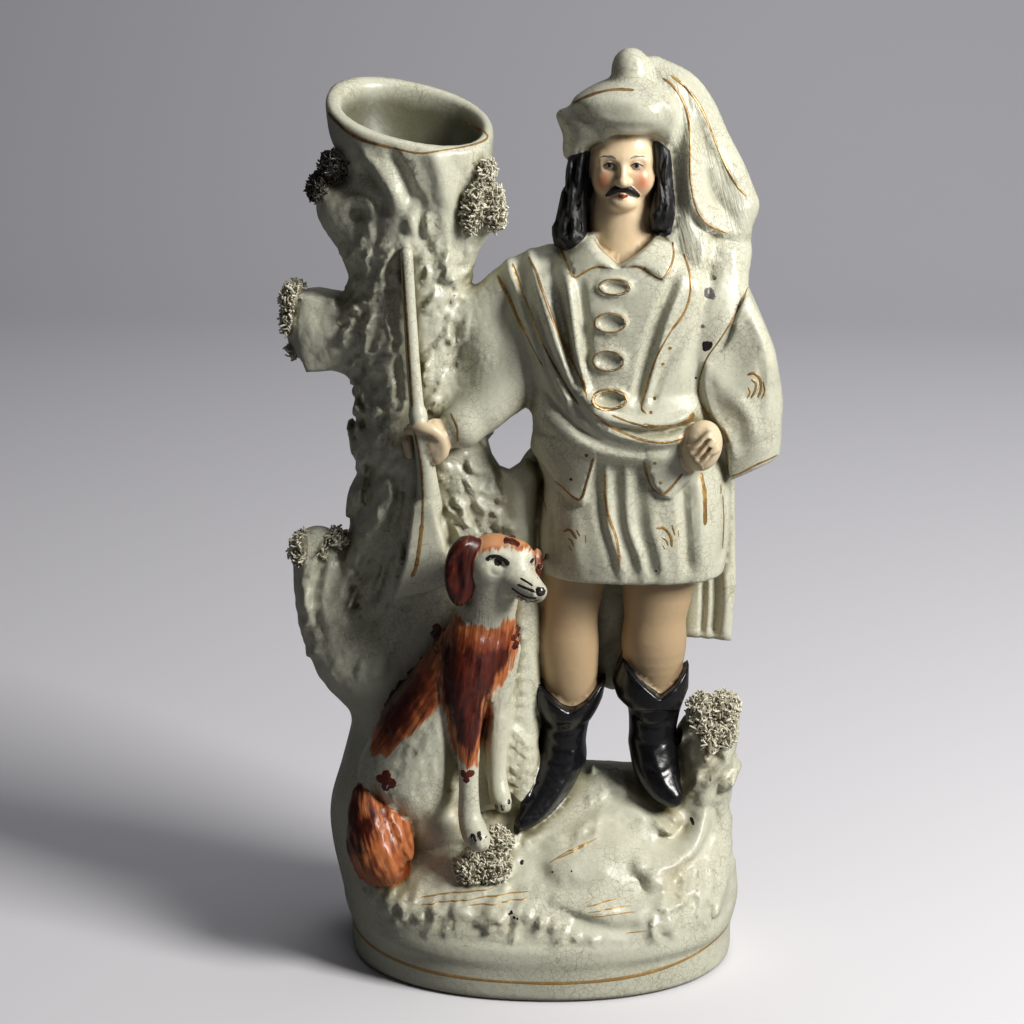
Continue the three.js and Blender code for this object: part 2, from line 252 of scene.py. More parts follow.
# %% Relief drawn in the front view
class Relief:
    """A height map seen from the front. Strokes swell or sink it, and then it moves the clay behind it."""

    def __init__(self, left, right, bottom, top):
        self.cuts, rows = window([left, 0, bottom], [right, 0, top], 0)
        self.x, self.z = rows[0][:, 0, :], rows[2][0, :, :]
        self.height = np.zeros((self.x.shape[0], self.z.shape[1]), np.float32)

    def near(self, points, reach):
        """The part of the map round some points."""
        p = np.asarray(points, float)
        i = np.searchsorted(self.x[:, 0], [p[:, 0].min() - reach, p[:, 0].max() + reach])
        j = np.searchsorted(self.z[0], [p[:, 1].min() - reach, p[:, 1].max() + reach])
        return slice(*i), slice(*j)

    def ridge(self, height, width, points, fine=4, fade=4.0):
        """A rounded ridge along a curve, or a groove where the height is negative; it fades at both ends."""
        line = through(points, fine)
        part = self.near(line, width)
        x, z = self.x[part[0]], self.z[:, part[1]]
        runs = np.hypot(*np.diff(line, axis=0).T)
        total, start = runs.sum(), 0.0
        best, along = np.full((x + z).shape, 1e9), np.zeros((x + z).shape)
        for (ax, az), (bx, bz), run in zip(line, line[1:], runs):
            ex, ez = bx - ax, bz - az
            t = np.clip(((x - ax) * ex + (z - az) * ez) / (ex * ex + ez * ez + 1e-9), 0, 1)
            d = (x - ax - t * ex) ** 2 + (z - az - t * ez) ** 2
            closer = d < best
            best[closer], along[closer] = d[closer], (start + t * run)[closer]
            start += run
        ends = soft_step(0, min(fade, total / 2), np.minimum(along, total - along)) if fade else 1.0
        self.height[part] += height * np.clip(1 - best / width**2, 0, 1) ** 2 * (0.15 + 0.85 * ends)

    def plateau(self, height, outline, soft=1.0):
        """A raised patch with a rounded edge."""
        part = self.near(outline, soft)
        d = outline_distance(outline, self.x[part[0]], self.z[:, part[1]])
        self.height[part] += height * soft_step(soft / 2, -soft / 2, d)

    def dimple(self, height, centre, radii):
        """A round swelling, or a hollow where the height is negative."""
        part = self.near([[centre[0] - radii[0], centre[1] - radii[1]], [centre[0] + radii[0], centre[1] + radii[1]]], 0)
        d = ((self.x[part[0]] - centre[0]) / radii[0]) ** 2 + ((self.z[:, part[1]] - centre[1]) / radii[1]) ** 2
        self.height[part] += height * np.clip(1 - d, 0, 1) ** 1.5

    def dashes(self, number, box, heading, length, height, width, seed):
        """Many short tool marks at random places, all roughly along one heading in degrees."""
        dice = random.Random(seed)
        for _ in range(number):
            x, z = dice.uniform(box[0], box[1]), dice.uniform(box[2], box[3])
            a = math.radians(heading + dice.gauss(0, 16))
            half = length * dice.uniform(0.3, 0.7)
            bend = dice.uniform(-0.25, 0.25) * half
            ends = [[x - half * math.cos(a), z - half * math.sin(a)], [x - bend * math.sin(a), z + bend * math.cos(a)],
                    [x + half * math.cos(a), z + half * math.sin(a)]]
            self.ridge(height * dice.uniform(0.6, 1.2), width * dice.uniform(0.8, 1.2), ends, 1, 0)

    def apply(self, front, back, fade=4.0):
        """Moves the clay between two depths by the height of the map."""
        cuts = (self.cuts[0], window([0, front - 4, 0], [0, back + 4, 0], 0)[0][1], self.cuts[2])
        y = LINES[1][cuts[1]].reshape(1, -1, 1)
        weight = soft_step(back + fade, back - fade, y) * soft_step(front - 4, front - 2, y)
        clay[cuts] -= self.height[:, None, :] * weight


# %% Rough clay
def rough(low, high, cell, height, seed, weight=None):
    """Random soft lumps of a given size all round a part of the clay."""
    cuts, rows = window(low, high, 0)
    dice = np.random.default_rng(seed)
    counts = [int((rows[i].max() - rows[i].min()) / cell[i]) + 3 for i in range(3)]
    lump = dice.random(counts).astype(np.float32) - 0.5
    for axis in range(3):
        at = (rows[axis].ravel() - rows[axis].min()) / cell[axis]
        index = at.astype(int)
        t = soft_step(0, 1, at - index).astype(np.float32).reshape([-1 if i == axis else 1 for i in range(3)])
        lump = np.take(lump, index, axis) * (1 - t) + np.take(lump, index + 1, axis) * t
    lump *= 2 * height
    if weight is not None:
        lump *= weight(*rows)
    clay[cuts] -= lump

# %% [markdown]
# ## Foot, ground and trunk
# The foot is a smooth oval band. The ground climbs steeply from it to a ridge under the boots, as on the real
# casting, so that from the front it shows like a little stage. The trunk is a stack of level slices, wide at the
# roots, narrow above and flared into the mouth, with sawn branch stubs melted into it.

# %% Foot and ground
FOOT = [[0, 78.2, 59.2], [0.8, 79.8, 60.8], [3, 81, 62], [12, 81, 62], [20, 80.8, 61.8], [23, 79.6, 60.6], [25, 77, 58]]
press(stack([[z, -a, a, -b, b] for z, a, b in FOOT], 2.15, 0.8), 0.5)
GROUND = [
    [17, -79.5, 79.5, -60.6, 60.6],
    [24, -80.4, 80, -59.4, 60.2],
    [30, -81, 80, -57.4, 58.6],
    [37, -82, 80, -53.4, 56],
    [44, -83, 79, -45, 53],
    [55, -84, 78, -33.5, 47],
    [65, -82, 76, -22.5, 38],
    [73, -78, 70, -11, 27],
    [78, -66, 58, -2, 16],
]
press(stack(GROUND, 2.5, 3), 4)
ROCK = limb([[66, 4, 26, 18], [65, 2, 60, 15], [69, 1, 88, 13], [71.5, 0, 104, 9.5]])
press(ROCK, 5)

# %% Trunk and stubs
TRUNK = stack(
    [
        [20, -85, 12, -32, 50],
        [45, -90.5, 10, -29, 48],
        [61, -91, 8, -24, 44],
        [79, -86, 6, -19, 40],
        [97, -81.5, 6, -17, 38],
        [116, -79, 7, -15, 36],
        [150, -82, 8, -14, 35],
        [180, -83, 6, -15, 34],
        [196, -81.5, -2, -16.5, 33.5],
        [207.5, -76.8, -12, -17.5, 33],
        [219.5, -80, -20, -18, 32],
        [232.5, -76.4, -20, -18, 32],
        [258, -79, -25, -18, 31],
        [284, -79, -30, -18, 30],
        [304, -80, -31, -19, 30],
        [325, -79, -21, -22, 32],
        [336, -82, -20.6, -23.6, 33.5],
        [348, -86.5, -20.3, -25, 35],
        [378, -88.5, -20, -26, 36],
    ],
    2.25,
)
STUB_LOW = limb([[-62, 6, 112, 20], [-80, 4, 128, 18], [-91, 3, 150, 13], [-94, 3, 172, 10.5]])
STUB_SIDE = together(
    [
        limb([[-60, 6, 262, 18], [-80, 5, 264, 16.5], [-90, 5, 265.5, 15.5]]),
        slab([[-93, 281.5], [-84, 279.5], [-78, 270], [-78, 256], [-88, 250], [-96.5, 249], [-98.5, 257], [-99.5, 272], [-98, 281]],
             17, -8, 3),
    ],
    4,
)
STUB_KNOT = limb([[-70, 5, 303, 13], [-79.5, 0, 313.5, 11], [-81.6, -3, 318.5, 9.6]])
STUB_RIGHT = limb([[-40, 0, 298, 12], [-28, -5, 313, 9]])
RIM_AT, RIM_TILT = (-55.0, 5.0, 354.3), (-0.22, 0.325)


def above_rim(x, y, z):
    """Height above the sloping plane of the mouth, square to it."""
    tall = z - RIM_AT[2] - RIM_TILT[0] * (x - RIM_AT[0]) - RIM_TILT[1] * (y - RIM_AT[1])
    return tall / math.sqrt(1 + RIM_TILT[0] ** 2 + RIM_TILT[1] ** 2)


press(TRUNK, 6)
for stub in (STUB_LOW, STUB_SIDE, STUB_KNOT, STUB_RIGHT):
    press(stub, 7)
press(limb([[-34, 10, 258, 18], [-18, 9, 262, 20], [0, 8, 266, 18]], flat=0.55), 5)
press(limb([[-26, 9, 196, 9], [-10, 9, 203, 9], [4, 8, 212, 9]]), 5)

# %% Beds for the moss
MOSS_BEDS = [
    egg(*bed)
    for bed in (
        ([-101.5, 2, 278.6], [4.6, 10, 6.4]),
        ([-102, 2, 269.5], [4.2, 10, 7]),
        ([-100.6, 3, 258.8], [3.8, 8, 4.8]),
        ([-99.3, 1, 172.8], [5.2, 9, 8.4], 6),
        ([-91, 1, 171.8], [4.6, 9.5, 8.6], -4),
        ([-85.2, 1, 178.6], [4.2, 8, 3.4]),
        ([-88.6, -5, 324.4], [4.6, 8, 6.4], 20),
        ([-81.6, -7, 334.4], [5.4, 8, 8], 40),
        ([-26.4, -13, 319], [4.8, 6, 12], 14),
        ([-19, -12, 318.6], [3.6, 5, 9], -6),
        ([-22, -12, 331.5], [3.0, 4.4, 5.6], 20),
    )
]
for bed in MOSS_BEDS:
    press(bed, 0.8, "moss")

ROOT = limb([[-9, -6, 206, 9], [-8.6, -9, 150, 8.6], [-8.4, -11.5, 122, 8.4], [-8.4, -14, 94, 8.4], [-9, -17, 74, 8]])
press(ROOT, 4)

# %% Bark
bark = Relief(-108, 12, 66, 350)
bark.ridge(2.0, 4.6, [[-73, 342], [-66, 335.6], [-61, 329], [-57.4, 322], [-55.4, 315]], fade=6)
bark.ridge(-3.2, 4.4, [[-72, 337], [-67.4, 329], [-63.6, 321], [-61.6, 313]], fade=6)
bark.ridge(1.5, 2.4, [[-70.4, 330], [-66, 324], [-62.4, 320]], 3)
bark.ridge(-2.6, 4.2, [[-60, 343], [-55.4, 335], [-51.6, 326], [-49.6, 318]], fade=6)
bark.ridge(-1.4, 2.8, [[-48.4, 327], [-46.4, 319], [-47.2, 310], [-47, 303]])
bark.ridge(-1.6, 3.2, [[-66, 318], [-64.6, 308], [-65, 298]])
bark.ridge(2.2, 6.0, [[-42, 343], [-39, 332], [-37.6, 320], [-38, 307], [-37, 294], [-35, 286]])
bark.ridge(-0.9, 3.4, [[-31, 336], [-31, 322], [-32, 306]])
bark.dimple(2.6, [-51, 311.5], [3.8, 6.8])
bark.dimple(2.0, [-45, 312], [2.8, 6.4])
bark.dimple(1.6, [-54.6, 305], [4.4, 4.0])
bark.dimple(1.5, [-42, 304], [2.6, 5.0])
bark.dimple(-2.4, [-72.6, 315], [5.0, 3.8])
bark.ridge(1.1, 2.8, [[-80, 316], [-77, 320.4], [-71.4, 321], [-66.6, 318], [-66, 312]], 3)
bark.ridge(1.3, 2.2, [[-62.5, 302], [-63, 292], [-65, 284]])
bark.ridge(-1.6, 2.8, [[-67, 304], [-67.5, 290], [-70, 280]])
bark.ridge(1.6, 1.8, [[-36, 283], [-31.5, 282], [-29.5, 275], [-31, 266], [-35, 264], [-37, 270], [-37, 279]], 3)
bark.ridge(3.4, 5.4, [[-61, 212], [-62.4, 203], [-65.6, 193], [-73.4, 178], [-81, 163], [-84, 148]], fade=10)
bark.ridge(-2.6, 4, [[-69, 214], [-71, 204], [-74.6, 192], [-84, 178]])
bark.ridge(-2.2, 3.2, [[-86, 180], [-92, 166], [-94, 152], [-91, 138]])
bark.ridge(1.4, 4, [[-96, 172], [-99, 160], [-97, 146]])
bark.ridge(-2.6, 3.8, [[-57.6, 216], [-57.6, 206], [-59.6, 190], [-64.4, 168], [-71, 150]], fade=8)
bark.ridge(-2.0, 3.0, [[-60, 298], [-59.6, 276], [-58, 252], [-57, 236]], fade=10)
bark.ridge(1.6, 3.4, [[-70, 300], [-68, 284], [-69, 268], [-72, 254]], fade=10)
bark.ridge(-1.8, 3.0, [[-75, 262], [-71, 250], [-66, 244], [-62, 232]], fade=8)
bark.ridge(1.8, 2.6, [[-78, 248], [-72, 240], [-67, 228], [-66, 216]], fade=8)
bark.ridge(-1.6, 2.6, [[-75, 232], [-71, 224], [-71, 214]], fade=6)
bark.ridge(1.4, 3.0, [[-88, 240], [-79, 222], [-76, 212]], fade=6)
bark.ridge(1.6, 5, [[-53, 150], [-62, 138], [-70, 120]])
bark.ridge(-1.4, 4, [[-62, 156], [-72, 140], [-80, 122]])
bark.dashes(84, (-47, -28, 238, 300), 62, 4.6, 1.0, 2.0, 1)
bark.dashes(96, (-80, -58, 232, 304), 52, 4.4, 1.1, 1.9, 2)
bark.dashes(44, (-40, -14, 182, 226), 128, 6.6, 1.1, 2.4, 3)
bark.dashes(96, (-82, -56, 150, 240), 66, 5.0, 1.1, 1.8, 4)
bark.dashes(40, (-100, -74, 118, 170), 70, 6.0, 0.7, 2.2, 7)
bark.dashes(20, (-102, -72, 120, 172), 70, 12, -0.4, 3.0, 5)
bark.dashes(16, (-94, -80, 252, 280), 84, 12, -0.3, 3.0, 6)
for step in range(6):
    rib = 101 - 5.2 * step
    bark.ridge(2.3, 2.7, [[-13.4, rib + 4.8], [-9, rib + 1.2], [-5.4, rib - 2.8], [-2.6, rib - 6.6]], 2, 2)
for step in range(8):
    rib = 109 + 5.4 * step
    bark.ridge(0.9, 2.5, [[-13, rib], [-4, rib + 1]], 2)
bark.apply(-40, 12)


def bark_weight(x, y, z):
    """Lumps are fresh on the front and softer behind, and leave the man and the mouth alone."""
    tall = soft_step(150, 190, z) * soft_step(335, 300, z) + 0.35 * soft_step(70, 100, z)
    side = soft_step(10, -8, x) * (0.3 + 0.7 * soft_step(-86, -78, x))
    return (np.minimum(tall, 1) * side * (0.5 + 0.5 * soft_step(10, -6, y))).astype(np.float32)


rough([-108, -40, 70], [14, 42, 340], (3.2, 3.2, 4.0), 0.36, 11, bark_weight)
rough([-108, -40, 70], [14, 42, 340], (7.0, 7.0, 8.0), 0.5, 12, bark_weight)


def mouth(x, y, z):
    """Everything over the sloping plane of the mouth, between the trunk and the man."""
    return soft_max(-above_rim(x, y, z), x + 12, 1)


carve(Form([-112, -40, 318], [-12, 50, 384], mouth), 3.0)

# %% The hollow for the spills
WELL = stack(
    [
        [232, -60, -48, 0, 10],
        [237, -67, -40, -7, 18],
        [255, -70, -34, -9, 22],
        [280, -72, -36, -11, 23],
        [300, -74.5, -37, -13, 24.5],
        [326, -74, -26, -17, 27],
        [338, -77.4, -25.5, -18.6, 28.6],
        [352, -81, -25, -19.6, 30],
        [384, -82, -24.6, -21, 31],
    ],
    2.2,
)
print("foot, ground and trunk pressed")
# %% [markdown]
# ## The fallen deer
# The deer at the hunter's feet is only a low swelling of the ground with a curled neck, so it is drawn as relief
# before the boots and the hound are set on it.

# %% Deer and rough ground
field = Relief(-84, 84, 18, 104)
field.dimple(3.4, [23.4, 53], [23, 11.5])
field.dimple(1.2, [12, 49], [9, 7.6])
field.ridge(0.9, 2.4, [[3, 56], [12, 61.4], [24, 65.2], [35, 67], [42, 66.6], [46.6, 63.4]], fade=8)
field.ridge(-0.8, 2.6, [[8, 62], [18, 68], [30, 70], [42, 71]], fade=8)
field.ridge(3.1, 6.4, [[37, 53.4], [45, 50.8], [52, 49.6], [57.4, 50], [62, 52.2], [66, 56], [68.6, 61.6], [68, 66], [65.6, 69.6]], fade=7)
field.ridge(-2.3, 3.8, [[47, 58.4], [54, 57.2], [59, 59.4], [60.8, 64]])
field.ridge(1.5, 1.9, [[46.6, 65.6], [52.4, 61.6], [57.6, 57.6]])
field.ridge(1.4, 1.7, [[52, 67.8], [56.2, 65], [59.4, 62.2]])
field.ridge(-1.3, 2.8, [[47, 47.4], [56, 47.4], [63, 48.8], [69.2, 52.6], [72.6, 58.4], [73.2, 64], [71, 70]])
field.dimple(2.2, [49.4, 45.6], [6.2, 5.2])
field.ridge(-1.3, 2.3, [[41.2, 48.4], [42.6, 43.6], [45.6, 39.4]])
field.dimple(-1.7, [57, 43], [4.8, 4.8])
field.ridge(1.3, 2.6, [[51, 38.4], [57, 36.2], [62.6, 38.2], [65.6, 42.4]])
field.ridge(1.3, 2.4, [[66.4, 49.6], [67.4, 42.6], [65.6, 35.4]])
field.ridge(-1.3, 2.2, [[62.2, 49], [62.8, 43.4]])
field.ridge(1.1, 2.2, [[70.6, 49.4], [72, 42], [71, 34]])
field.ridge(1.1, 5.5, [[8, 42.4], [20, 38.6], [34, 36.4]], fade=8)
field.ridge(-1.2, 3.8, [[-4, 43.4], [3, 39.4], [11, 35.8], [22.4, 31.8], [35, 29.2], [46, 29.8]], fade=8)
LUMPS = ((-61, 31, 1.0, 4), (-55, 35, 1.3, 4.2), (-48, 31.4, 1.2, 3.6), (-41, 34.4, 1.6, 4), (-34, 31.4, -0.7, 3),
         (-28, 35, 1.5, 3.8), (-22, 32.4, 1.2, 3), (-15, 34.8, 1.6, 3.8), (-9, 31, -0.8, 3), (-3, 35, 1.6, 3.6),
         (3.4, 33.2, 1.3, 3), (8.4, 31.4, 1.4, 3), (12, 28.4, -0.6, 2.6), (17, 28, 1.0, 3), (24, 26.4, 0.9, 3))
for x_lump, z_lump, high, wide in LUMPS:
    field.dimple(high, [x_lump, z_lump], [wide, wide * 0.85])
field.dashes(50, (-72, 14, 27, 41), 64, 5.0, 0.8, 2.6, 36)
field.dashes(30, (-50, -2, 42, 60), 24, 8, 0.5, 2.6, 37)
field.dashes(26, (46, 76, 26, 44), 88, 5, 0.8, 2.4, 32)
field.dashes(40, (-10, 26, 58, 80), 40, 6.4, 1.0, 2.6, 33)
field.dashes(30, (24, 56, 72, 84), 12, 7, 0.6, 2.8, 38)
field.dashes(34, (57, 82, 75, 104), 62, 7, 1.4, 3.2, 34)
field.dashes(18, (-46, 4, 44, 72), 20, 9, -0.5, 3.0, 35)
field.height *= 1.35


def off_boots(x, z):
    """One on the open ground and nought close to the two boots, so that they stand clear of the lumps."""
    left = soft_step(0.9, 1.6, ((x - 4) / 15) ** 2 + ((z - 76) / 14) ** 2)
    right = soft_step(0.9, 1.6, ((x - 50) / 13) ** 2 + ((z - 82) / 12) ** 2)
    return left * right


field.height *= off_boots(field.x, field.z)
field.apply(-66, 10)


def ground_weight(x, y, z):
    return (off_boots(x, z) * soft_step(26, 38, z) * soft_step(112, 96, z) * soft_step(-66, -50, x + 0 * y)).astype(np.float32)


rough([-90, -66, 24], [88, 64, 112], (9, 9, 8), 0.9, 41, ground_weight)
rough([-90, -66, 24], [88, 64, 112], (3.6, 3.6, 3.4), 0.5, 42, ground_weight)
print("deer drawn")


# %% [markdown]
# ## The hunter
# Jacket and kilt are level slices too, because cloth hangs round the body in rings. Legs, arms and locks are limbs
# along a path, and the boots are short stacks with a limb for the foot. Cloth folds are drawn as relief.

# %% Legs, kilt and jacket
BACKING = slab([[-4, 113], [20, 117], [30, 113.5], [37, 117], [56, 130], [64, 205], [-4, 205]], 25, 1)
press(BACKING, 3)
TAIL = slab([[58, 136.5], [79, 135], [80.5, 160], [79, 205], [58, 205]], 20, 4, 3)
press(TAIL, 1)
LEG_LEFT = limb([[14, -5.5, 178, 14.2], [12.8, -6, 164, 13.8], [11.9, -6.5, 150, 11.6], [11.4, -6.5, 136, 12.6],
                 [12, -6.6, 122, 11.4], [12.5, -6.6, 114, 9.4]])
LEG_RIGHT = limb([[48.5, -5, 176, 15], [48, -6, 162, 14.6], [47.2, -6.6, 149, 12.8], [46.8, -6.4, 137, 13.4],
                  [47, -5.4, 123, 10.6]])
press(LEG_LEFT, 1.5, "flesh")
press(LEG_RIGHT, 1.5, "flesh")
JACKET = stack(
    [
        [205, 1, 74, -29, 24],
        [219, -3, 73, -31, 23],
        [232, -4, 71, -32, 23],
        [244, -5, 70, -32, 22],
        [258, -8, 72, -32, 22],
        [274, -10, 76, -31, 21],
        [287, -8, 76, -29.5, 20],
        [295, 2, 68, -27, 18],
        [301, 9, 59, -24, 16],
        [306, 14, 52, -20, 13],
        [309, 18, 48, -15, 10],
    ],
    2.4,
    3,
)
KILT = stack([[168.6, 0, 75, -31, 24], [184, -1.5, 77, -32.5, 26], [200, 0, 77.5, -31, 25], [220, 2, 76, -28, 23]], 2.6, 2)
BELT = stack([[219, 1, 71, -32.5, 24], [226, -3, 71.5, -35, 24], [236, -4.5, 71, -35, 23], [245, -5, 70, -33, 22]], 2.4, 3)
press(KILT, 1)
press(JACKET, 1.5)

# %% Pleats of the kilt and tails of the jacket
pleats = Relief(-8, 86, 132, 228)
pleats.ridge(-1.0, 3.0, [[24, 221], [24, 205], [25.2, 194], [29.5, 181], [31.6, 171]], fade=8)
pleats.ridge(1.3, 2.6, [[27, 221], [27.4, 202], [28.8, 191], [32.4, 180], [34, 169]], fade=8)
pleats.ridge(-1.0, 3.0, [[31, 221], [31.4, 204], [33, 192], [37.4, 180], [39.6, 171]], fade=8)
pleats.ridge(1.0, 2.8, [[35, 221], [35.6, 204], [37, 192], [41.4, 180], [42.6, 170]], fade=8)
pleats.ridge(-1.4, 4.2, [[41.5, 221], [40, 205], [41, 192], [44.6, 181], [46.8, 170]], fade=8)
pleats.ridge(0.8, 3.4, [[46.5, 204], [46, 195], [49, 182], [51, 169]], fade=8)
pleats.ridge(-2.2, 3.6, [[57, 214], [58, 200], [59.4, 184], [60, 171]], fade=8)
pleats.ridge(1.1, 3.4, [[63, 216], [64.4, 204], [65.6, 190], [65.8, 170]], fade=8)
pleats.ridge(-1.3, 2.6, [[72, 212], [73, 200], [73.6, 186], [72.6, 172]], fade=8)
pleats.ridge(-1.0, 3.0, [[6, 202], [6, 190], [7, 174]], fade=8)
pleats.ridge(0.7, 5, [[14, 200], [15, 184], [17, 170]], fade=8)
pleats.plateau(2.2, [[-8, 232], [-6, 222], [2, 214], [8, 207.6], [14, 203], [17.6, 201.2], [19, 204], [21, 211], [23.4, 221], [24, 232]], 1.2)
pleats.plateau(2.4, [[42.4, 232], [43.4, 217], [45.4, 210], [49, 205.6], [53, 204.8], [57, 209], [62, 214.6], [68, 232]], 1.2)
pleats.apply(-44, -4)
tail = Relief(56, 84, 132, 172)
tail.ridge(-1.8, 2.0, [[67, 166], [67, 150], [66.4, 137]])
tail.ridge(-2.4, 2.6, [[72, 168], [72.4, 152], [71.6, 137]])
tail.ridge(1.2, 2.6, [[76, 168], [76.6, 152], [75.6, 137]])
tail.apply(-6, 10)
press(BELT, 2.5)

# %% Shoulders, cape and plume
SHOULDER = limb([[71.5, 0, 305, 12], [70.4, -7, 288, 12], [70.4, -12, 272, 12.5], [68.5, -15, 258, 10], [67, -17, 246, 7]])
CAPE = within(
    stack(
        [
            [208, 60, 97.5, -18, 10],
            [217, 60, 97.5, -21, 13],
            [230, 58, 98, -25, 15],
            [246, 56, 98, -27, 16],
            [262, 54, 97, -27.0, 17],
            [276, 54, 93, -24.5, 17],
            [290, 56, 88, -20, 14],
        ],
        2.3,
    ),
    [[80.6, 284.6], [76, 273], [68.5, 262], [64, 252], [63.2, 246], [66, 239], [72, 232.5], [75, 226], [75.8, 213],
     [77, 209.6], [86, 214], [97.2, 218.6], [97.6, 240], [96, 250], [93.6, 261], [88.2, 273], [82.6, 285]],
    1.8,
)
PLUME = together(
    [
        limb([[42, 0, 370.5, 4.6], [50, -2, 362, 7], [55, -5, 350, 8], [57.5, -6, 336, 8.5], [60, -7, 322, 8.5],
              [68, -6, 313.5, 6.5], [77, -4, 311, 5.5]]),
        limb([[44, 2, 371.5, 4.2], [54, 3, 364.5, 7], [60, 3, 355, 8.5], [65, 3, 343, 9], [71.5, 2, 330, 9.5],
              [78, 1, 318, 8.3]]),
        limb([[44, 5, 366, 6], [54, 7, 354, 9], [60, 8, 338, 12], [66, 8, 320, 14.5], [69, 7, 302, 14], [69, 5, 286, 12]]),
        limb([[56, -3, 330, 9], [58, -6, 312, 10], [61, -9, 296, 10.5]]),
    ],
    6,
)
press(SHOULDER, 2.5)
press(limb([[74, -13, 234, 4.6], [74.6, -13, 222, 4.6], [74.6, -10, 214, 4.2]]), 1.5)
press(CAPE, 0.8)

# %% Gun arm
SLEEVE = limb([[-1, -1, 285, 13], [-7, -5, 265, 13], [-11, -9, 251, 12], [-19, -14, 240, 10.8], [-27, -18, 234.4, 9.0],
               [-31, -20, 231.4, 8.4]])
SHOULDER_SLOPE = limb([[4, -3, 292, 10.5], [-6, -3, 289, 9.6], [-14, -3, 284, 9.6], [-20, -3, 279, 9], [-28, -1, 272.5, 8.4]])
WEB = limb([[-27, -3, 272, 10], [-21, -7, 262, 12], [-21, -9, 251, 11], [-27, -10, 243, 8.5]])
press(SHOULDER_SLOPE, 5)
press(WEB, 7)
press(SLEEVE, 4)
ARM_GAP = [[-22.6, 221.1], [-19.2, 224.9], [-12.9, 230.6], [-7.0, 233.9], [-4.6, 232], [-4.1, 225.3], [-5.6, 218.1],
           [-9.2, 211.8], [-13.7, 208.7], [-17.8, 210.2], [-21, 215.2]]


def arm_gap(x, y, z):
    """The gap under the arm, which falls towards the back as the mould half was drawn."""
    return outline_distance(ARM_GAP, x + 0.064 * y, z + 0.218 * y)


carve(Form([-30, -40, 195], [2, 45, 245], arm_gap), 2)
CUFF = limb([[-29.4, -19.4, 232.4, 9.0], [-31, -20.4, 231, 8.9]])
press(CUFF, 0.8)
GUN = together(
    [
        limb([[-53, -21, 300.5, 2.5], [-50.8, -24, 262, 2.7], [-48.7, -26, 236, 2.9]]),
        limb([[-48.4, -25.5, 236, 3.3], [-45.6, -23.5, 213, 3.9], [-44.8, -21, 198, 5.4]]),
        slab([[-51, 200], [-43, 200], [-38.5, 184], [-36.5, 166], [-47, 162.5], [-59.5, 159.5], [-54.5, 176]], -8, -26.6, 2.0),
    ],
    3,
)
press(GUN, 1)
FIST = together(
    [
        egg([-42, -23.4, 225.6], [6.0, 5.6, 9.0]),
        limb([[-36, -20.5, 229, 6.6], [-40, -22, 227, 6.4]]),
        limb([[-53, -23.5, 229.6, 1.9], [-50.6, -27.0, 231.2, 2.2], [-46.4, -29.0, 231.8, 2.5], [-42.2, -28.4, 230.6, 2.7],
              [-39.0, -27, 226.6, 2.8], [-38.8, -26, 221.6, 2.7], [-41.4, -25.6, 218.4, 2.3]]),
        limb([[-53.4, -22.4, 224.6, 2.2], [-52.4, -22, 219.6, 2.0]]),
    ],
    1.0,
)
press(FIST, 0.6, "flesh")

# %% Boots
BOOT_LEFT = together(
    [
        stack([[84, -1.4, 19, -19, 6], [95, -0.6, 19, -18.4, 6], [104, -0.4, 20.6, -19, 7], [112, -1.4, 24, -21, 8]], 2.0),
        within(stack([[102, 1, 20, -19, 8], [108, -3, 24, -21.5, 9], [114, -4.5, 26, -23, 10], [125, -3, 28.5, -23, 11]], 2.0, 1),
               [[-4.5, 114], [-1, 121.5], [4, 117], [13, 110.5], [20, 115], [27.5, 123.5], [26.5, 114], [21, 104.5],
                [12, 106], [3, 104.5], [-1.5, 108.5]], 1.6),
        limb([[9.5, -7, 89, 9.6], [6, -13, 80, 9.0], [1.2, -20, 72.5, 7.0], [-3.6, -26.4, 67.4, 4.6], [-6.6, -29.6, 65.6, 3]]),
    ],
    1.4,
)
BOOT_RIGHT = together(
    [
        stack([[84, 38.5, 56.5, -15, 8], [97, 37, 56.5, -15, 8], [107, 36.5, 58, -16, 8], [116, 34, 60.5, -18, 9]], 2.0),
        within(stack([[106, 36, 59, -18, 9], [113, 31, 61, -21, 10], [120, 29, 62.5, -22.5, 11], [132, 31, 62.5, -22, 11]], 2.0, 1),
               [[29.5, 121.5], [34, 132.5], [41, 125], [50, 117.5], [56, 122], [61.5, 129.5], [61.5, 119], [57.5, 110],
                [50, 112.5], [38, 111], [32, 115.5]], 1.6),
        limb([[46.5, -5, 94, 9.8], [48.5, -9, 84, 9.3], [52, -14, 77, 7.2], [55.5, -18, 74.2, 4.6]]),
    ],
    1.4,
)
press(BOOT_LEFT, 1, "black")
press(BOOT_RIGHT, 1, "black")
boots = Relief(-12, 66, 56, 134)
boots.ridge(-0.9, 1.6, [[0, 104], [8, 101], [19, 103]])
boots.ridge(-0.6, 1.6, [[2, 97], [9, 94.5], [17, 95]])
boots.ridge(-0.6, 1.8, [[2, 88], [10, 87], [18, 90]])
boots.ridge(0.8, 3.0, [[15, 95], [12, 84], [5, 72], [-3, 65]])
boots.ridge(-0.9, 1.6, [[37, 108], [46, 104], [57, 107]])
boots.ridge(-0.7, 1.6, [[38, 97], [46, 95], [55, 98]])
boots.ridge(0.7, 3.0, [[46, 96], [49, 86], [54, 77]])
boots.ridge(-0.7, 1.4, [[43, 87], [50, 84], [57, 87]])
boots.apply(-40, 0)
print("hunter's body pressed")

# %% [markdown]
# The head is set out on plain studio proportions. The face is divided in thirds from hairline to brow, brow to the
# base of the nose, and base of the nose to the chin. The eyes lie half way down the head, one eye apart.

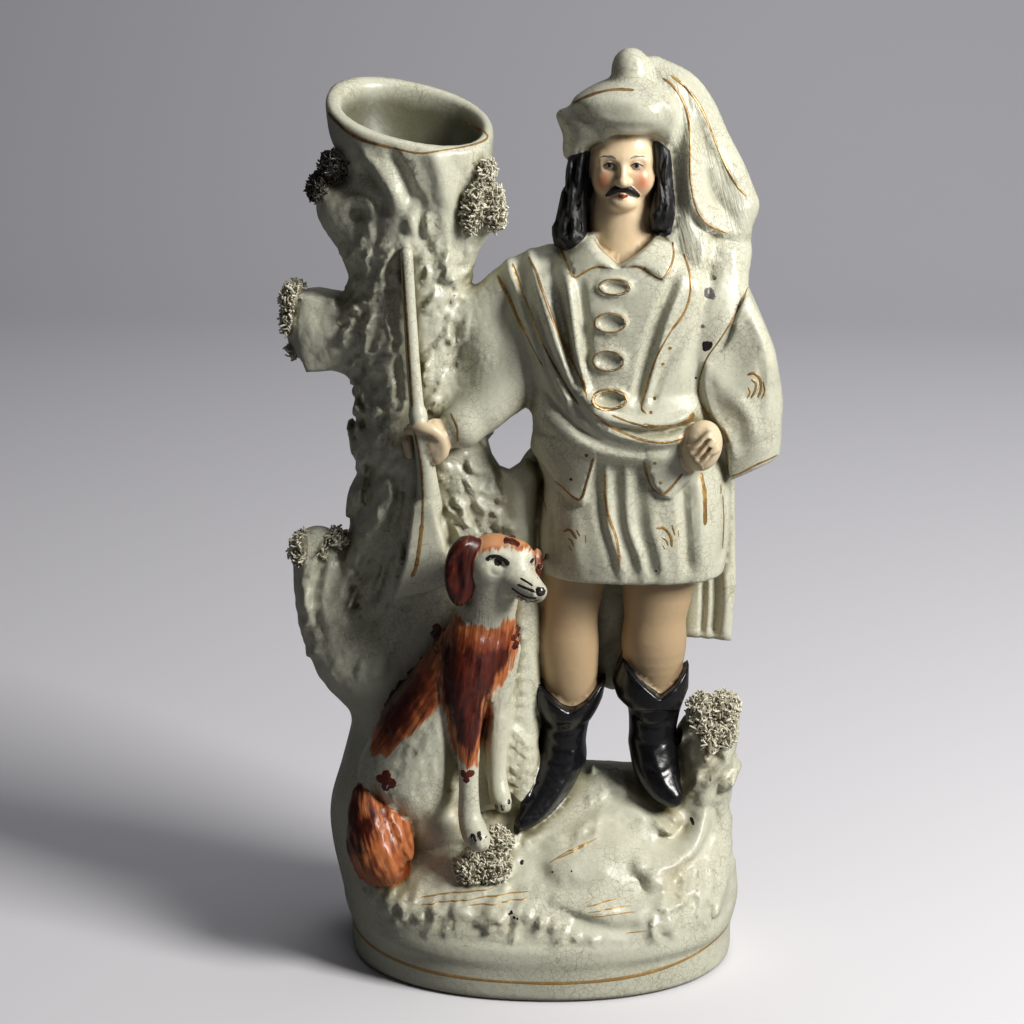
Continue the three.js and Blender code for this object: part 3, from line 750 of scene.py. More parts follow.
# %% Head
FACE_X, CHIN_Z, HAIRLINE_Z = 32.2, 317.6, 348.2
THIRD = (HAIRLINE_Z - CHIN_Z) / 3
BROW_Z, NOSE_Z, EYE_Z = HAIRLINE_Z - THIRD, CHIN_Z + THIRD, CHIN_Z + 1.74 * THIRD
MOUTH_Z = NOSE_Z - THIRD * 0.36
EYE_X = 5.3
FACE_Y = -19.0
HEAD = together(
    [
        egg([FACE_X, -4.5, 337], [14.0, 14.2, 16.5]),
        egg([FACE_X, -8.5, CHIN_Z + 12.8], [12.4, 10.8, 12.4]),
        egg([FACE_X, -15.8, CHIN_Z + 3.1], [5.6, 4.6, 3.4]),
        egg([FACE_X - 6.8, -14.2, NOSE_Z + 1.4], [4.6, 4.4, 4.6]),
        egg([FACE_X + 6.8, -14.2, NOSE_Z + 1.4], [4.6, 4.4, 4.6]),
        limb([[FACE_X - 8, -15.6, BROW_Z - 0.6, 2.2], [FACE_X, -17.4, BROW_Z, 2.3], [FACE_X + 8, -15.6, BROW_Z - 0.6, 2.2]]),
    ],
    3.5,
)
NECK = limb([[32.2, -2, 288, 14], [32.2, -2.8, 302, 13.6], [32.2, -2.6, 318, 13.2]])
NECK_OPENING = [[17.6, 311], [23, 303], [30.7, 296.4], [39, 301], [45.6, 307], [46, 318], [17, 318]]
carve(slab(NECK_OPENING, -13, -40, 1.5), 1)
press(NECK, 1.2, "flesh")
press(HEAD, 2, "flesh")
for side in (-1, 1):
    carve(egg([FACE_X + side * EYE_X, FACE_Y - 0.2, EYE_Z], [3.2, 2.2, 2.0]), 1.4)
    press(egg([FACE_X + side * EYE_X, FACE_Y + 2.9, EYE_Z - 0.1], [2.6, 2.4, 1.85]), 0.4, "flesh")
    press(limb([[FACE_X + side * (EYE_X - 2.9), FACE_Y + 0.9, EYE_Z + 0.5, 0.45], [FACE_X + side * EYE_X, FACE_Y + 0.4, EYE_Z + 1.35, 0.5],
                [FACE_X + side * (EYE_X + 2.9), FACE_Y + 2.0, EYE_Z + 0.2, 0.4]]), 0.8, "flesh")
NOSE = together(
    [
        limb([[FACE_X, FACE_Y + 0.6, BROW_Z - 1.2, 1.3], [FACE_X, FACE_Y - 1.2, EYE_Z - 1.6, 1.35], [FACE_X, FACE_Y - 2.7, NOSE_Z + 1.7, 1.7]]),
        egg([FACE_X, FACE_Y - 2.8, NOSE_Z + 1.4], [1.9, 2.0, 1.55]),
        egg([FACE_X - 1.9, FACE_Y - 1.0, NOSE_Z + 1.2], [1.35, 1.7, 1.2]),
        egg([FACE_X + 1.9, FACE_Y - 1.0, NOSE_Z + 1.2], [1.35, 1.7, 1.2]),
    ],
    1.2,
)
press(NOSE, 1.4, "flesh")
LIPS = together(
    [
        limb([[FACE_X - 2.9, FACE_Y + 1.2, MOUTH_Z + 0.2, 0.5], [FACE_X, FACE_Y - 0.8, MOUTH_Z + 0.5, 0.8],
              [FACE_X + 2.9, FACE_Y + 1.2, MOUTH_Z + 0.2, 0.5]]),
        limb([[FACE_X - 2.2, FACE_Y + 0.9, MOUTH_Z - 0.7, 0.6], [FACE_X, FACE_Y - 0.6, MOUTH_Z - 1.0, 0.9],
              [FACE_X + 2.2, FACE_Y + 0.9, MOUTH_Z - 0.7, 0.6]]),
    ],
    0.25,
)
press(LIPS, 0.8, "flesh")
MOUSTACHE = together(
    [
        limb([[FACE_X, FACE_Y - 1.2, NOSE_Z - 0.9, 1.0], [FACE_X + side * 2.6, FACE_Y - 1.0, NOSE_Z - 1.3, 1.25],
              [FACE_X + side * 4.8, FACE_Y + 0.5, NOSE_Z - 3.0, 0.95], [FACE_X + side * 6.6, FACE_Y + 1.9, NOSE_Z - 4.4, 0.45]])
        for side in (-1, 1)
    ],
    0.4,
)
press(MOUSTACHE, 0.4, "black")

# %% Hair, cap and knob
LOCKS = together(
    [
        limb([[16.5, -6, 342, 3.8], [14.6, -7, 336, 4.8], [13.7, -8, 330, 4.8], [12.4, -8.6, 319, 5.7], [11.2, -9, 309, 6.5],
              [10.4, -9, 306.6, 5.2]], flat=1.25),
        limb([[46.4, -11, 343, 2.4], [47.9, -12, 337, 3.4], [48.5, -13, 327, 4.0], [48.6, -13.4, 320, 5.0], [47.2, -13.4, 315, 5.0],
              [46.8, -13.4, 313, 3.4]], flat=1.1),
        limb([[49.6, -13.4, 315, 2.8], [50, -13.6, 310.6, 1.6]]),
        limb([[45.4, -14, 314, 2.6], [45, -14.2, 311, 1.5]]),
        limb([[7.6, -9.4, 309, 3.8], [6.8, -9.8, 304.2, 2.2]]),
        limb([[13.6, -10.4, 308, 3.8], [14.4, -10.6, 303.6, 2.0]]),
        egg([32, 3, 326], [18, 10, 23]),
        egg([30, 2, 309], [18, 9.5, 14]),
    ],
    1,
)
press(LOCKS, 0.6, "black")
CAP = together(
    [
        stack(
            [
                [347.6, 19, 47.6, -20.5, 12],
                [351, 16, 52.5, -23, 15],
                [355, 12.5, 55, -24.2, 17],
                [360, 12, 54, -23, 16],
                [364, 17, 51, -18, 13],
                [368, 25, 46, -11, 9],
            ],
            2.2,
            2,
        ),
        limb([[24, -4, 350, 9.5], [15, -4, 350.5, 7.6], [8.2, -4, 353.4, 3.0]], flat=1.5),
        limb([[18, -5, 349, 7], [14, -4, 343, 6], [12, -3, 339, 4]], flat=1.6),
        limb([[48, -8, 350, 6], [49.6, -7, 344, 4.6]], flat=1.4),
    ],
    3,
)
KNOB = together([limb([[36.6, -3, 354, 14], [35.6, -3, 363, 10.2], [34.8, -3, 369.5, 7.6]]), egg([34.4, -3, 372.8], [7.2, 7.2, 7.3])], 2)
press(PLUME, 1.5)
press(CAP, 1.2)
press(KNOB, 2.4)
hair = Relief(2, 54, 300, 345)
for step in range(4):
    left, sway = 17.4 - 2.3 * step, 1.0 * (-1) ** step
    hair.ridge(-1.1, 1.3, [[left, 342 - step], [left - 1.4 + sway, 332], [left - 2 - sway, 321], [left - 3.2 + sway, 311], [left - 3.6, 304]])
hair.ridge(-1.1, 1.2, [[48.4, 341], [47.2, 331], [48.8, 322], [46.4, 312]])
hair.ridge(-1.0, 1.1, [[50.4, 336], [49.6, 328], [51.4, 320], [49.4, 311]])
hair.ridge(-0.9, 1.0, [[46, 334], [45.4, 326], [45.6, 318]])
hair.ridge(0.6, 1.6, [[46.2, 320], [44.6, 316], [46, 311]])
hair.apply(-30, -3, 2)
print("head pressed")

# %% Folds of cap and plume
folds = Relief(4, 92, 282, 382)
folds.ridge(1.0, 3.4, [[39, 365], [46, 362.5], [51.5, 356], [52.6, 348], [50, 341]])
folds.ridge(-1.4, 4.5, [[51, 367], [55.5, 358], [54.5, 346], [53.5, 336], [54, 322], [55, 312]], fade=10)
folds.ridge(0.9, 3.0, [[47, 369], [53, 363], [57.5, 353], [58.5, 342], [58.5, 330], [60, 320], [64, 314], [70, 310], [76, 308]])
folds.ridge(-1.5, 5.0, [[58, 356], [61.5, 346], [63.5, 334], [67, 322], [75, 314], [82, 313]], fade=10)
folds.ridge(0.9, 3.4, [[50, 371], [58, 364], [64, 355], [68, 345], [72.5, 336], [78, 327]])
folds.ridge(-1.3, 2.8, [[59, 318], [62, 311.5], [68, 307.5], [76, 305], [85, 304.5]])
folds.ridge(-0.7, 2.4, [[21, 351.4], [33, 350.6], [45, 350.6]])
folds.dimple(-1.2, [27, 357], [10, 5.5])
folds.ridge(0.5, 2.0, [[11, 358], [18, 362], [28, 364], [38, 364]])
folds.dashes(26, (60, 84, 286, 306), 100, 9, 0.18, 2.4, 51)
folds.apply(-40, 0)

# %% Folds of the plaid, collar and lapels
chest = Relief(-24, 100, 205, 312)
chest.ridge(2.5, 4.2, [[-15, 299], [-9, 286], [-3, 272], [2, 259], [7, 249], [13, 241]])
chest.ridge(2.4, 3.6, [[-6, 303], [-2, 291], [3, 277], [8, 263], [14, 251], [20, 241.4], [28, 234.4], [38, 230.4], [50, 229], [60, 231]])
chest.ridge(2.7, 3.4, [[10, 297], [12.2, 284], [14, 271], [16, 258], [19, 248], [24.6, 240.6], [33, 237], [44, 236], [54, 237],
                       [62, 240]], fade=6)
chest.ridge(-2.0, 2.6, [[-11, 296], [-5, 279], [0, 265], [5, 252], [11, 241]])
chest.ridge(-2.4, 3.0, [[3, 301], [7, 283], [11, 267], [15.4, 252], [19, 246]], fade=9)
chest.ridge(-1.5, 3.0, [[15.8, 294], [18, 276], [19.6, 262], [21, 254]], fade=8)
chest.ridge(1.2, 6.0, [[-4, 240], [10, 231], [24, 225], [40, 222.6], [56, 224]], fade=8)
chest.ridge(-1.6, 2.6, [[21, 239.4], [28, 235.2], [36, 232.8], [46, 231.9], [59, 235]])
chest.ridge(-1.3, 2.6, [[11, 236], [20, 230], [31, 226], [44, 224.4], [56, 226.4]], fade=8)
chest.ridge(-1.2, 2.4, [[2, 247], [9, 239], [17, 233], [26, 229]], fade=8)
chest.ridge(-2.5, 4.0, [[55, 295], [48, 280], [43.5, 265], [40.5, 251], [38.8, 240]], fade=9)
chest.ridge(1.2, 3.0, [[57, 296], [52, 281], [47.5, 266], [44, 252], [42, 242]])
chest.ridge(-1.2, 3.0, [[66.2, 299], [65.6, 286], [59, 273], [51.5, 262], [46.5, 252], [44, 242]])
chest.ridge(-1.0, 4.0, [[67.5, 301], [66.8, 288], [63.4, 274], [60, 260], [58.8, 250]], fade=12)
chest.plateau(1.5, [[7, 307], [9.5, 301], [12, 296], [14, 292.6], [18, 295], [23, 297.3], [29.5, 296.6], [24, 300.5],
                    [19, 306], [16, 309]], 1.1)
chest.plateau(1.5, [[32, 296.6], [36.5, 297.4], [41, 296.8], [45, 294], [49, 292], [52, 296], [53.3, 303], [53, 309],
                    [46, 309], [42, 304], [36, 299.5]], 1.1)
chest.dimple(-2.9, [77, 261], [10, 14])
chest.ridge(1.7, 4.0, [[80.5, 281], [87.4, 270], [90.8, 257], [91.4, 240], [89.6, 224]], fade=8)
chest.ridge(1.5, 5.0, [[72, 246], [79, 243], [84, 236], [86, 224]], fade=8)
chest.ridge(-1.0, 4, [[93, 252], [92, 238], [90, 224]])
chest.ridge(1.3, 3.0, [[66, 262], [65.5, 250], [69, 238], [76, 228], [78, 218]])
BUTTONS = [([29.6, 289.4], [6.0, 2.9]), ([28.0, 275.6], [6.0, 3.7]), ([27.4, 260.6], [6.1, 3.9]), ([28.2, 245.4], [6.5, 3.6])]
for centre, radii in BUTTONS:
    chest.ridge(1.5, 1.7, oval(centre, radii), 1, 0)
    chest.dimple(-0.9, centre, [radii[0] - 0.6, radii[1] - 0.6])
chest.apply(-48, -4)

# %% Hand on the hip
HIP_CENTRE, HIP_RADII = (64.8, -31.5, 226.8), (8.0, 6.4, 10.4)


def finger(index):
    """One finger of the closed hand, laid over it in a low arc that rises to the right."""
    stations = []
    for step in range(6):
        t = step / 5
        x = 58.8 + 1.9 * index + (7.8 - 0.7 * index) * t
        z = 227.6 - 2.55 * index + (7.8 - 0.4 * index) * t + 1.1 * math.sin(math.pi * t)
        u, w = (x - HIP_CENTRE[0]) / HIP_RADII[0], (z - HIP_CENTRE[2]) / HIP_RADII[2]
        if u * u + w * w < 0.78:
            stations.append([x, HIP_CENTRE[1] - 0.4 - HIP_RADII[1] * math.sqrt(1 - u * u - w * w), z, 1.8])
    return limb(stations)


HIP_HAND = together([egg(HIP_CENTRE, HIP_RADII, 12)] + [finger(index) for index in range(1, 4)], 0.25)
press(HIP_HAND, 0.8, "flesh")
gaps = Relief(52, 78, 210, 242)
for index in range(4):
    rise = [[57.6 + 1.6 * index, 227.6 - 2.9 * index], [62.8 + 1.4 * index, 230.0 - 2.9 * index],
            [66.6 + 1.0 * index, 235.4 - 3.0 * index]]
    gaps.ridge(-1.05, 1.6, rise, fade=3)
gaps.apply(-46, -26, 2)

# %% [markdown]
# ## The hound
# The hound sits on his haunches against the roots, with his head turned to the hunter. His brush lies on the ground.

# %% Hound
BODY = together(
    [
        limb([[-23, -26, 150, 12], [-29, -26, 132, 16.5], [-43, -24, 108, 20], [-53, -22, 84, 22]]),
        egg([-54, -21, 80], [21, 18, 22]),
        slab([[-46, 62], [-9, 70], [-11, 142], [-40, 142]], -10, -25, 5),
        limb([[-25, -32, 143, 13], [-28.5, -37, 126, 10.5], [-28.6, -39.5, 108, 6.6], [-27.9, -40.5, 94, 4.5], [-27.6, -41, 83, 4.1],
              [-27.2, -42, 73, 4.7], [-25, -44.6, 67, 5.5], [-22.6, -47.4, 64.6, 4.9]]),
        limb([[-15.6, -27, 140, 8.4], [-17, -27, 118, 6.0], [-17.4, -27, 100, 4.6], [-17, -27.6, 86, 4.0], [-15.4, -31, 77.5, 4.4],
              [-13.8, -34, 75.4, 3.8]]),
        limb([[-22, -28, 148, 12.5], [-19.4, -32, 160, 11.0], [-18, -34, 170, 11]]),
        limb([[-56, -20, 66, 13], [-44, -22, 62, 12], [-34, -24, 60, 9]]),
    ],
    2.5,
)
HOUND_HEAD = together(
    [
        egg([-17.5, -36, 178.5], [12.5, 12, 12]),
        egg([-9.5, -39, 180], [9, 8.6, 9.4]),
        limb([[-10, -41, 176.5, 7.8], [-4.5, -45, 173, 6], [0, -48, 170.2, 4.4]]),
        limb([[-9, -41.5, 171.6, 5.4], [-3.6, -46, 168.4, 3.4]]),
        egg([1.2, -49.2, 170.8], [2.5, 2.4, 2.2]),
    ],
    2.2,
)
EARS = together(
    [
        egg([-30.2, -41.5, 175.6], [6.1, 4.8, 13.8], 4),
        egg([-27.4, -40, 184.6], [6.6, 5, 6]),
        egg([0.2, -35, 180], [2.0, 3.6, 4.6], -8),
    ],
    2.5,
)
press(BODY, 2)
press(HOUND_HEAD, 2)
press(EARS, 1.2)
BRUSH = limb([[-71, -30, 75.5, 6.4], [-67.4, -35, 69.5, 11], [-65, -38.4, 61, 13.8], [-63.8, -41, 55, 13.2], [-64, -42, 51.6, 10]])
press(BRUSH, 1.5)
fur = Relief(-86, 6, 36, 194)
fur.ridge(-1.0, 1.6, [[-20, 180.6], [-16, 182], [-11, 179.6]])
fur.dimple(-0.7, [-15.4, 179], [4.4, 3.2])
fur.dimple(0.6, [-15.4, 178.6], [2.6, 2.0])
fur.ridge(-0.8, 1.4, [[-3.4, 183], [-2.4, 179.5], [-1.6, 177]])
fur.ridge(0.7, 2.4, [[-20, 184], [-15, 185.4], [-9, 183.6]])
fur.ridge(-0.8, 1.2, [[2.6, 168.6], [-3, 166.2], [-9, 167.4]])
fur.ridge(-0.7, 1.4, [[0.2, 173.4], [0.8, 171.2], [0.4, 168.8]])
fur.ridge(1.0, 2.2, [[-26, 190], [-34, 184], [-36, 176], [-34, 166]])
fur.ridge(-0.8, 2.6, [[-31, 184], [-31, 176], [-30, 168]])
fur.ridge(-1.2, 2.6, [[-22, 132], [-20.6, 116], [-22, 100]])
fur.ridge(-1.6, 4.0, [[-38, 132], [-37, 116], [-35, 98], [-35, 80]])
fur.ridge(-1.4, 3.4, [[-68, 86], [-62, 72], [-56, 60], [-52, 46]])
for step in range(4):
    fur.ridge(-0.8, 1.0, [[-26.8 + 2.3 * step, 68.5], [-25.8 + 2.3 * step, 65], [-24.8 + 2.2 * step, 61.6]], 2)
    fur.ridge(-0.6, 0.9, [[-17.4 + 2.1 * step, 77.5], [-16.8 + 2.1 * step, 75], [-16.2 + 2.0 * step, 72.6]], 2)
fur.dashes(60, (-40, -10, 112, 156), 84, 8, -0.3, 1.4, 21)
fur.dashes(50, (-68, -40, 92, 142), 62, 9, -0.28, 1.6, 22)
fur.dashes(26, (-62, -38, 62, 100), 84, 10, -0.2, 1.8, 23)
fur.dashes(40, (-80, -52, 38, 78), 80, 16, -0.28, 1.5, 24)
fur.height *= 1.25
fur.apply(-56, -16)

# %% The hollow opened, and moss on the ground
carve(WELL, 3.0)
GROUND_BEDS = [
    egg(*bed)
    for bed in (
        ([66.6, -6, 109], [4.8, 7, 5.6]),
        ([75.6, -4, 109], [6.6, 8, 6]),
        ([72, -7, 100.4], [6.4, 7, 6.8]),
        ([-27, -41, 49.4], [6.2, 6, 6.2]),
        ([-17.4, -41, 50.2], [6.8, 6, 6.8]),
        ([-16, -37, 60.6], [5.4, 6, 4.8]),
    )
]
for bed in GROUND_BEDS:
    press(bed, 0.8, "moss")

# %% [markdown]
# ## From clay to skin
# The zero surface of the field is the skin of the casting. It is taken off as a dense even mesh, and then thinned
# where the form is flat, so that the piece stays light. The dense skin's own normals are kept for the shading.

# %% Skin
def value_at(points):
    """The clay field at any points, between the cells."""
    at = np.clip((points - LOW) / GRAIN, 0, np.array(clay.shape) - 1.001)
    i = at.astype(int)
    t = (at - i).astype(np.float32)
    total = 0
    for corner in range(8):
        step = [(corner >> axis) & 1 for axis in range(3)]
        weight = np.prod([t[:, a] if step[a] else 1 - t[:, a] for a in range(3)], axis=0)
        total = total + weight * clay[i[:, 0] + step[0], i[:, 1] + step[1], i[:, 2] + step[2]]
    return total


def slope_at(points, reach):
    """Unit direction in which the clay field grows."""
    g = np.stack([value_at(points + reach * axis) - value_at(points - reach * axis) for axis in np.eye(3)], 1)
    return g / np.maximum(np.linalg.norm(g, axis=1, keepdims=True), 1e-9)


grid = openvdb.FloatGrid(background=float(FAR))
grid.copyFromArray(clay)
points, quads = grid.convertToQuads(isovalue=0.0)
points = points * GRAIN + LOW
print("dense skin:", len(points), "points", len(quads), "quads")

BUDGET = 196000
mesh = bpy.data.meshes.new("casting")
mesh.from_pydata(points * 0.001, [], quads)
casting = bpy.data.objects.new("casting", mesh)
bpy.context.scene.collection.objects.link(casting)
x, y, z = points.T
care = 0.25 + 0.75 * soft_step(18, 14, np.hypot(x - FACE_X, (z - 330) * 0.8)) * soft_step(-4, -10, y)
care = np.maximum(care, 0.25 + 0.55 * soft_step(20, 14, np.hypot(x + 14, z - 176)) * soft_step(-24, -30, y))
group = casting.vertex_groups.new(name="care")
for level in range(1, 17):
    chosen = np.nonzero(np.round(care * 16) == level)[0]
    if len(chosen):
        group.add(chosen.tolist(), level / 16, "REPLACE")
thin = casting.modifiers.new("thin", "DECIMATE")
thin.ratio = min(1.0, BUDGET / (2 * len(quads)))
thin.vertex_group = "care"
thin.vertex_group_factor = 1.0
thin.invert_vertex_group = True
bpy.context.view_layer.update()
skin = bpy.data.meshes.new_from_object(casting.evaluated_get(bpy.context.evaluated_depsgraph_get()))
casting.modifiers.clear()
casting.vertex_groups.clear()
casting.data = skin
bpy.data.meshes.remove(mesh)
skin.name = "casting"
skin.shade_smooth()
spots = np.empty(len(skin.vertices) * 3)
skin.vertices.foreach_get("co", spots)
spots = spots.reshape(-1, 3) * 1000
normals = slope_at(spots, 0.6 * GRAIN)
skin.normals_split_custom_set_from_vertices(normals)
print("thinned skin:", len(skin.vertices), "points", sum(len(p.vertices) - 2 for p in skin.polygons), "triangles")

# %% [markdown]
# ## Where each colour goes
# The decorator followed the modelling, and so does this. Flesh and black end exactly in the crease where a painted
# form meets its neighbour, because the same distances that pressed the clay decide which form a point belongs to.
# The hound's patches are brushed inside loose outlines, each with the direction of its brush strokes.

# %% Fields for the painted forms
skin.calc_loop_triangles()
corners = np.empty(len(skin.loop_triangles) * 3, int)
skin.loop_triangles.foreach_get("vertices", corners)
corners = corners.reshape(-1, 3)


def depth_in(forms):
    """Least distance from every point of the skin to some forms."""
    least = np.full(len(spots), 9.0)
    for form in forms:
        close = np.nonzero(np.all((spots > form.low - 6) & (spots < form.high + 6), axis=1))[0]
        if len(close):
            px, py, pz = spots[close].T
            least[close] = np.minimum(least[close], form.distance(px, py, pz))
    return least


def note(name, values):
    """Stores one number or one direction for every point of the skin."""
    kind = "FLOAT" if np.ndim(values) == 1 else "FLOAT_VECTOR"
    layer = skin.attributes.new(name, kind, "POINT")
    layer.data.foreach_set("value" if kind == "FLOAT" else "vector", np.asarray(values, np.float32).ravel())


def inside(outlines):
    """Depth inside the nearest of several loose outlines in the front view; negative outside."""
    return np.max([-outline_distance(np.asarray(o, float), spots[:, 0], spots[:, 2]) for o in outlines], axis=0)


depths = {paint: depth_in(forms) for paint, forms in PAINTED.items()}
for paint in ("flesh", "black", "moss"):
    others = np.min([depths[other] for other in depths if other != paint], axis=0)
    lead = np.clip(others - depths[paint], -4, 4)
    if paint == "flesh":
        in_opening = np.where(depth_in([NECK]) < 1.4, inside([NECK_OPENING]), -4)
        lead = np.maximum(lead, in_opening * (spots[:, 1] < -10) - 4.0 * (spots[:, 1] >= -10))
    note(paint, lead)
# How deep each point lies in a crease and in a broad hollow; the glaze turns these into dirt and painted shade.
recess = np.clip(1 - value_at(spots + 2.6 * normals) / 2.6, 0, 1)
note("recess", recess)
note("hollow", np.clip(1 - value_at(spots + 6.5 * normals) / 6.5, 0, 1))
hands = depth_in([FIST, HIP_HAND])
note("hands", np.clip(1.5 - hands, 0, 1))
# Painted shade on the legs: one towards the bottom of the figure, nought on the face and hands.
note("leg_shade", soft_step(210, 180, spots[:, 2]))
tan = np.zeros(len(spots))
for x_tan, z_tan, wide, tall, much in ((57, 44, 7, 7, 1.0), (57, 61, 7, 6, 1.0), (68, 84, 9, 10, 0.9), (-14, 66, 8, 7, 0.8),
                                       (20, 62, 16, 6, 0.6), (-44, 60, 9, 12, 0.6), (-56, 40, 18, 6, 0.5), (-20, 32, 30, 5, 0.5),
                                       (-7, 84, 6, 14, 0.5), (-34, 68, 6, 8, 0.8)):
    tan = np.maximum(tan, much * np.exp(-((spots[:, 0] - x_tan) / wide) ** 2 - ((spots[:, 2] - z_tan) / tall) ** 2))
note("tan", tan * (spots[:, 1] < 0))

# %% The hound's coat
hound = np.minimum(depth_in([BODY, HOUND_HEAD, EARS, BRUSH]), 9)
on_hound = (hound < 2.2) & (spots[:, 1] < -8)
CHEST_PATCH = [[-38, 148], [-33, 156], [-28, 153.6], [-22, 153.6], [-17, 152], [-11.5, 157.5], [-8.5, 151], [-7.5, 145],
               [-8.5, 139], [-11, 133], [-15, 127], [-18.4, 121], [-20, 112], [-22.4, 102], [-24.4, 95.6], [-30.4, 95],
               [-33.4, 100], [-36, 109], [-38.5, 120], [-40, 132], [-40, 142]]
FLANK_PATCH = [[-38, 149], [-46, 146], [-54, 140], [-60, 130], [-65.5, 119], [-69.4, 106], [-68, 95], [-61, 97], [-54, 104],
               [-48, 111], [-42, 117], [-37.5, 121], [-39, 134]]
CAP_PATCH = [[-27, 193], [-10, 196], [4, 193], [4.5, 182], [1.2, 177], [-0.6, 180], [-1.4, 184.6], [-4, 187.2], [-12, 187],
             [-18, 187], [-22, 185.6], [-25, 180], [-25.6, 172], [-31, 172], [-36, 186]]
DEEP_CHEST = [[-39, 144], [-28, 145], [-18.8, 143.8], [-9.4, 142], [-10.6, 137.5], [-16.8, 131.5], [-19.8, 122], [-21.6, 113],
              [-24.6, 102], [-27.7, 99.6], [-32, 107], [-35.8, 117], [-39, 125]]
DEEP_FLANK = [[-50.5, 140], [-47.5, 127], [-52, 112], [-62, 105], [-68.5, 110], [-62.5, 129], [-55, 139]]
RIGHT_EAR = [[-0.2, 182.4], [4, 182.4], [4, 173], [-0.2, 173]]
ear = depth_in([EARS])
in_ear = np.clip(5 * (hound + 0.5 - ear), -6, 6) * (spots[:, 0] < -20) - 6.0 * (spots[:, 0] >= -20)
tail_depth = depth_in([BRUSH])
in_tail = np.clip(4 * (hound + 0.5 - tail_depth), -6, 6)
patch = np.maximum(np.maximum(inside([CHEST_PATCH, FLANK_PATCH, CAP_PATCH]), in_ear), in_tail)
note("rust", np.where(on_hound, np.clip(patch, -6, 6), -6))
upper_tail = -outline_distance(np.array([[-82, 86], [-72, 86], [-64, 74], [-68, 60], [-80, 52]], float), spots[:, 0], spots[:, 2])
deep = np.maximum(np.maximum(inside([DEEP_CHEST, DEEP_FLANK, RIGHT_EAR]), in_ear), np.minimum(upper_tail, in_tail) - 1.0)
note("deep", np.where(on_hound, np.clip(deep, -6, 6), -6))
note("wash", np.where(on_hound, np.clip(inside([CAP_PATCH]) - np.maximum(in_ear, 0), 0, 1), 0))
# Painted shade inside the mouth of the trunk, deepening below the rim.
note("well", soft_step(0.5, 9, -above_rim(*spots.T)) * (WELL.distance(*spots.T) < 1.5) * (spots[:, 2] > 200))
note("stain", np.exp(-((spots[:, 0] - 4) / 9) ** 2 - ((spots[:, 2] - 184) / 13) ** 2) * (spots[:, 1] < -12) * (spots[:, 0] > -2))
heading = np.radians(np.where(spots[:, 0] > 0, 105, np.where(spots[:, 0] > -40, 82, np.where(spots[:, 2] < 86, 108, 58))))
across = spots[:, 0] * np.sin(heading) - spots[:, 2] * np.cos(heading)
along = spots[:, 0] * np.cos(heading) + spots[:, 2] * np.sin(heading)
note("brush", np.column_stack([across, spots[:, 1], along]) * 0.001)
on_plume = 1.4 * np.clip(1.6 - depth_in([PLUME]), 0, 1) * soft_step(282, 288, spots[:, 2])
on_hair = np.clip(1.2 - depth_in([LOCKS]), 0, 1)
fur_here = 0.25 + 0.45 * soft_step(-48, -36, spots[:, 0]) * soft_step(90, 104, spots[:, 2]) - 0.1 * (in_tail > 0)
note("strand", np.maximum(np.maximum(on_plume, on_hair), fur_here * on_hound * soft_step(166, 160, spots[:, 2])))
on_bark = soft_step(-10, -16, spots[:, 0]) * soft_step(88, 100, spots[:, 2]) * soft_step(14, 4, spots[:, 1]) * (hound > 2)
note("scales", on_bark * soft_step(346, 322, spots[:, 2]) * np.clip(depth_in([GUN, SLEEVE, CUFF, FIST]) - 1, 0, 1))
cheeks = [np.exp(-(((spots[:, 0] - FACE_X - side * 7.6) / 3.0) ** 2 + ((spots[:, 2] - NOSE_Z - 1.5) / 4.0) ** 2)) for side in (-1, 1)]
note("blush", np.where(spots[:, 1] < -8, np.maximum(*cheeks), 0))
print("paint fields noted")

# %% [markdown]
# Thin lines, dots and strokes are separate films of enamel or gilding, laid on the finished skin from the front.
# Each is a ribbon that follows every fold, a tenth of a millimetre proud, with its edges sunk into the glaze.

# %% Lay films on the skin
from mathutils import Vector
from mathutils.bvhtree import BVHTree

tree = BVHTree.FromPolygons(spots.tolist(), corners.tolist())
films = {}
LINE_WIDTH = 1.4


STRAIGHT = (0.0, 0.0)
FROM_ABOVE = (-0.064, -0.218)


def on_skin(x, z, lift, slope=STRAIGHT):
    """The point of the skin behind (x, z), lifted off it. A sloping ray passes through (x, z) at y -40."""
    side, fall = slope
    start = Vector((x - 60 * side, -100, z - 60 * fall))
    place, normal, _, _ = tree.ray_cast(start, Vector((side, 1, fall)).normalized())
    return None if place is None else place + normal * lift


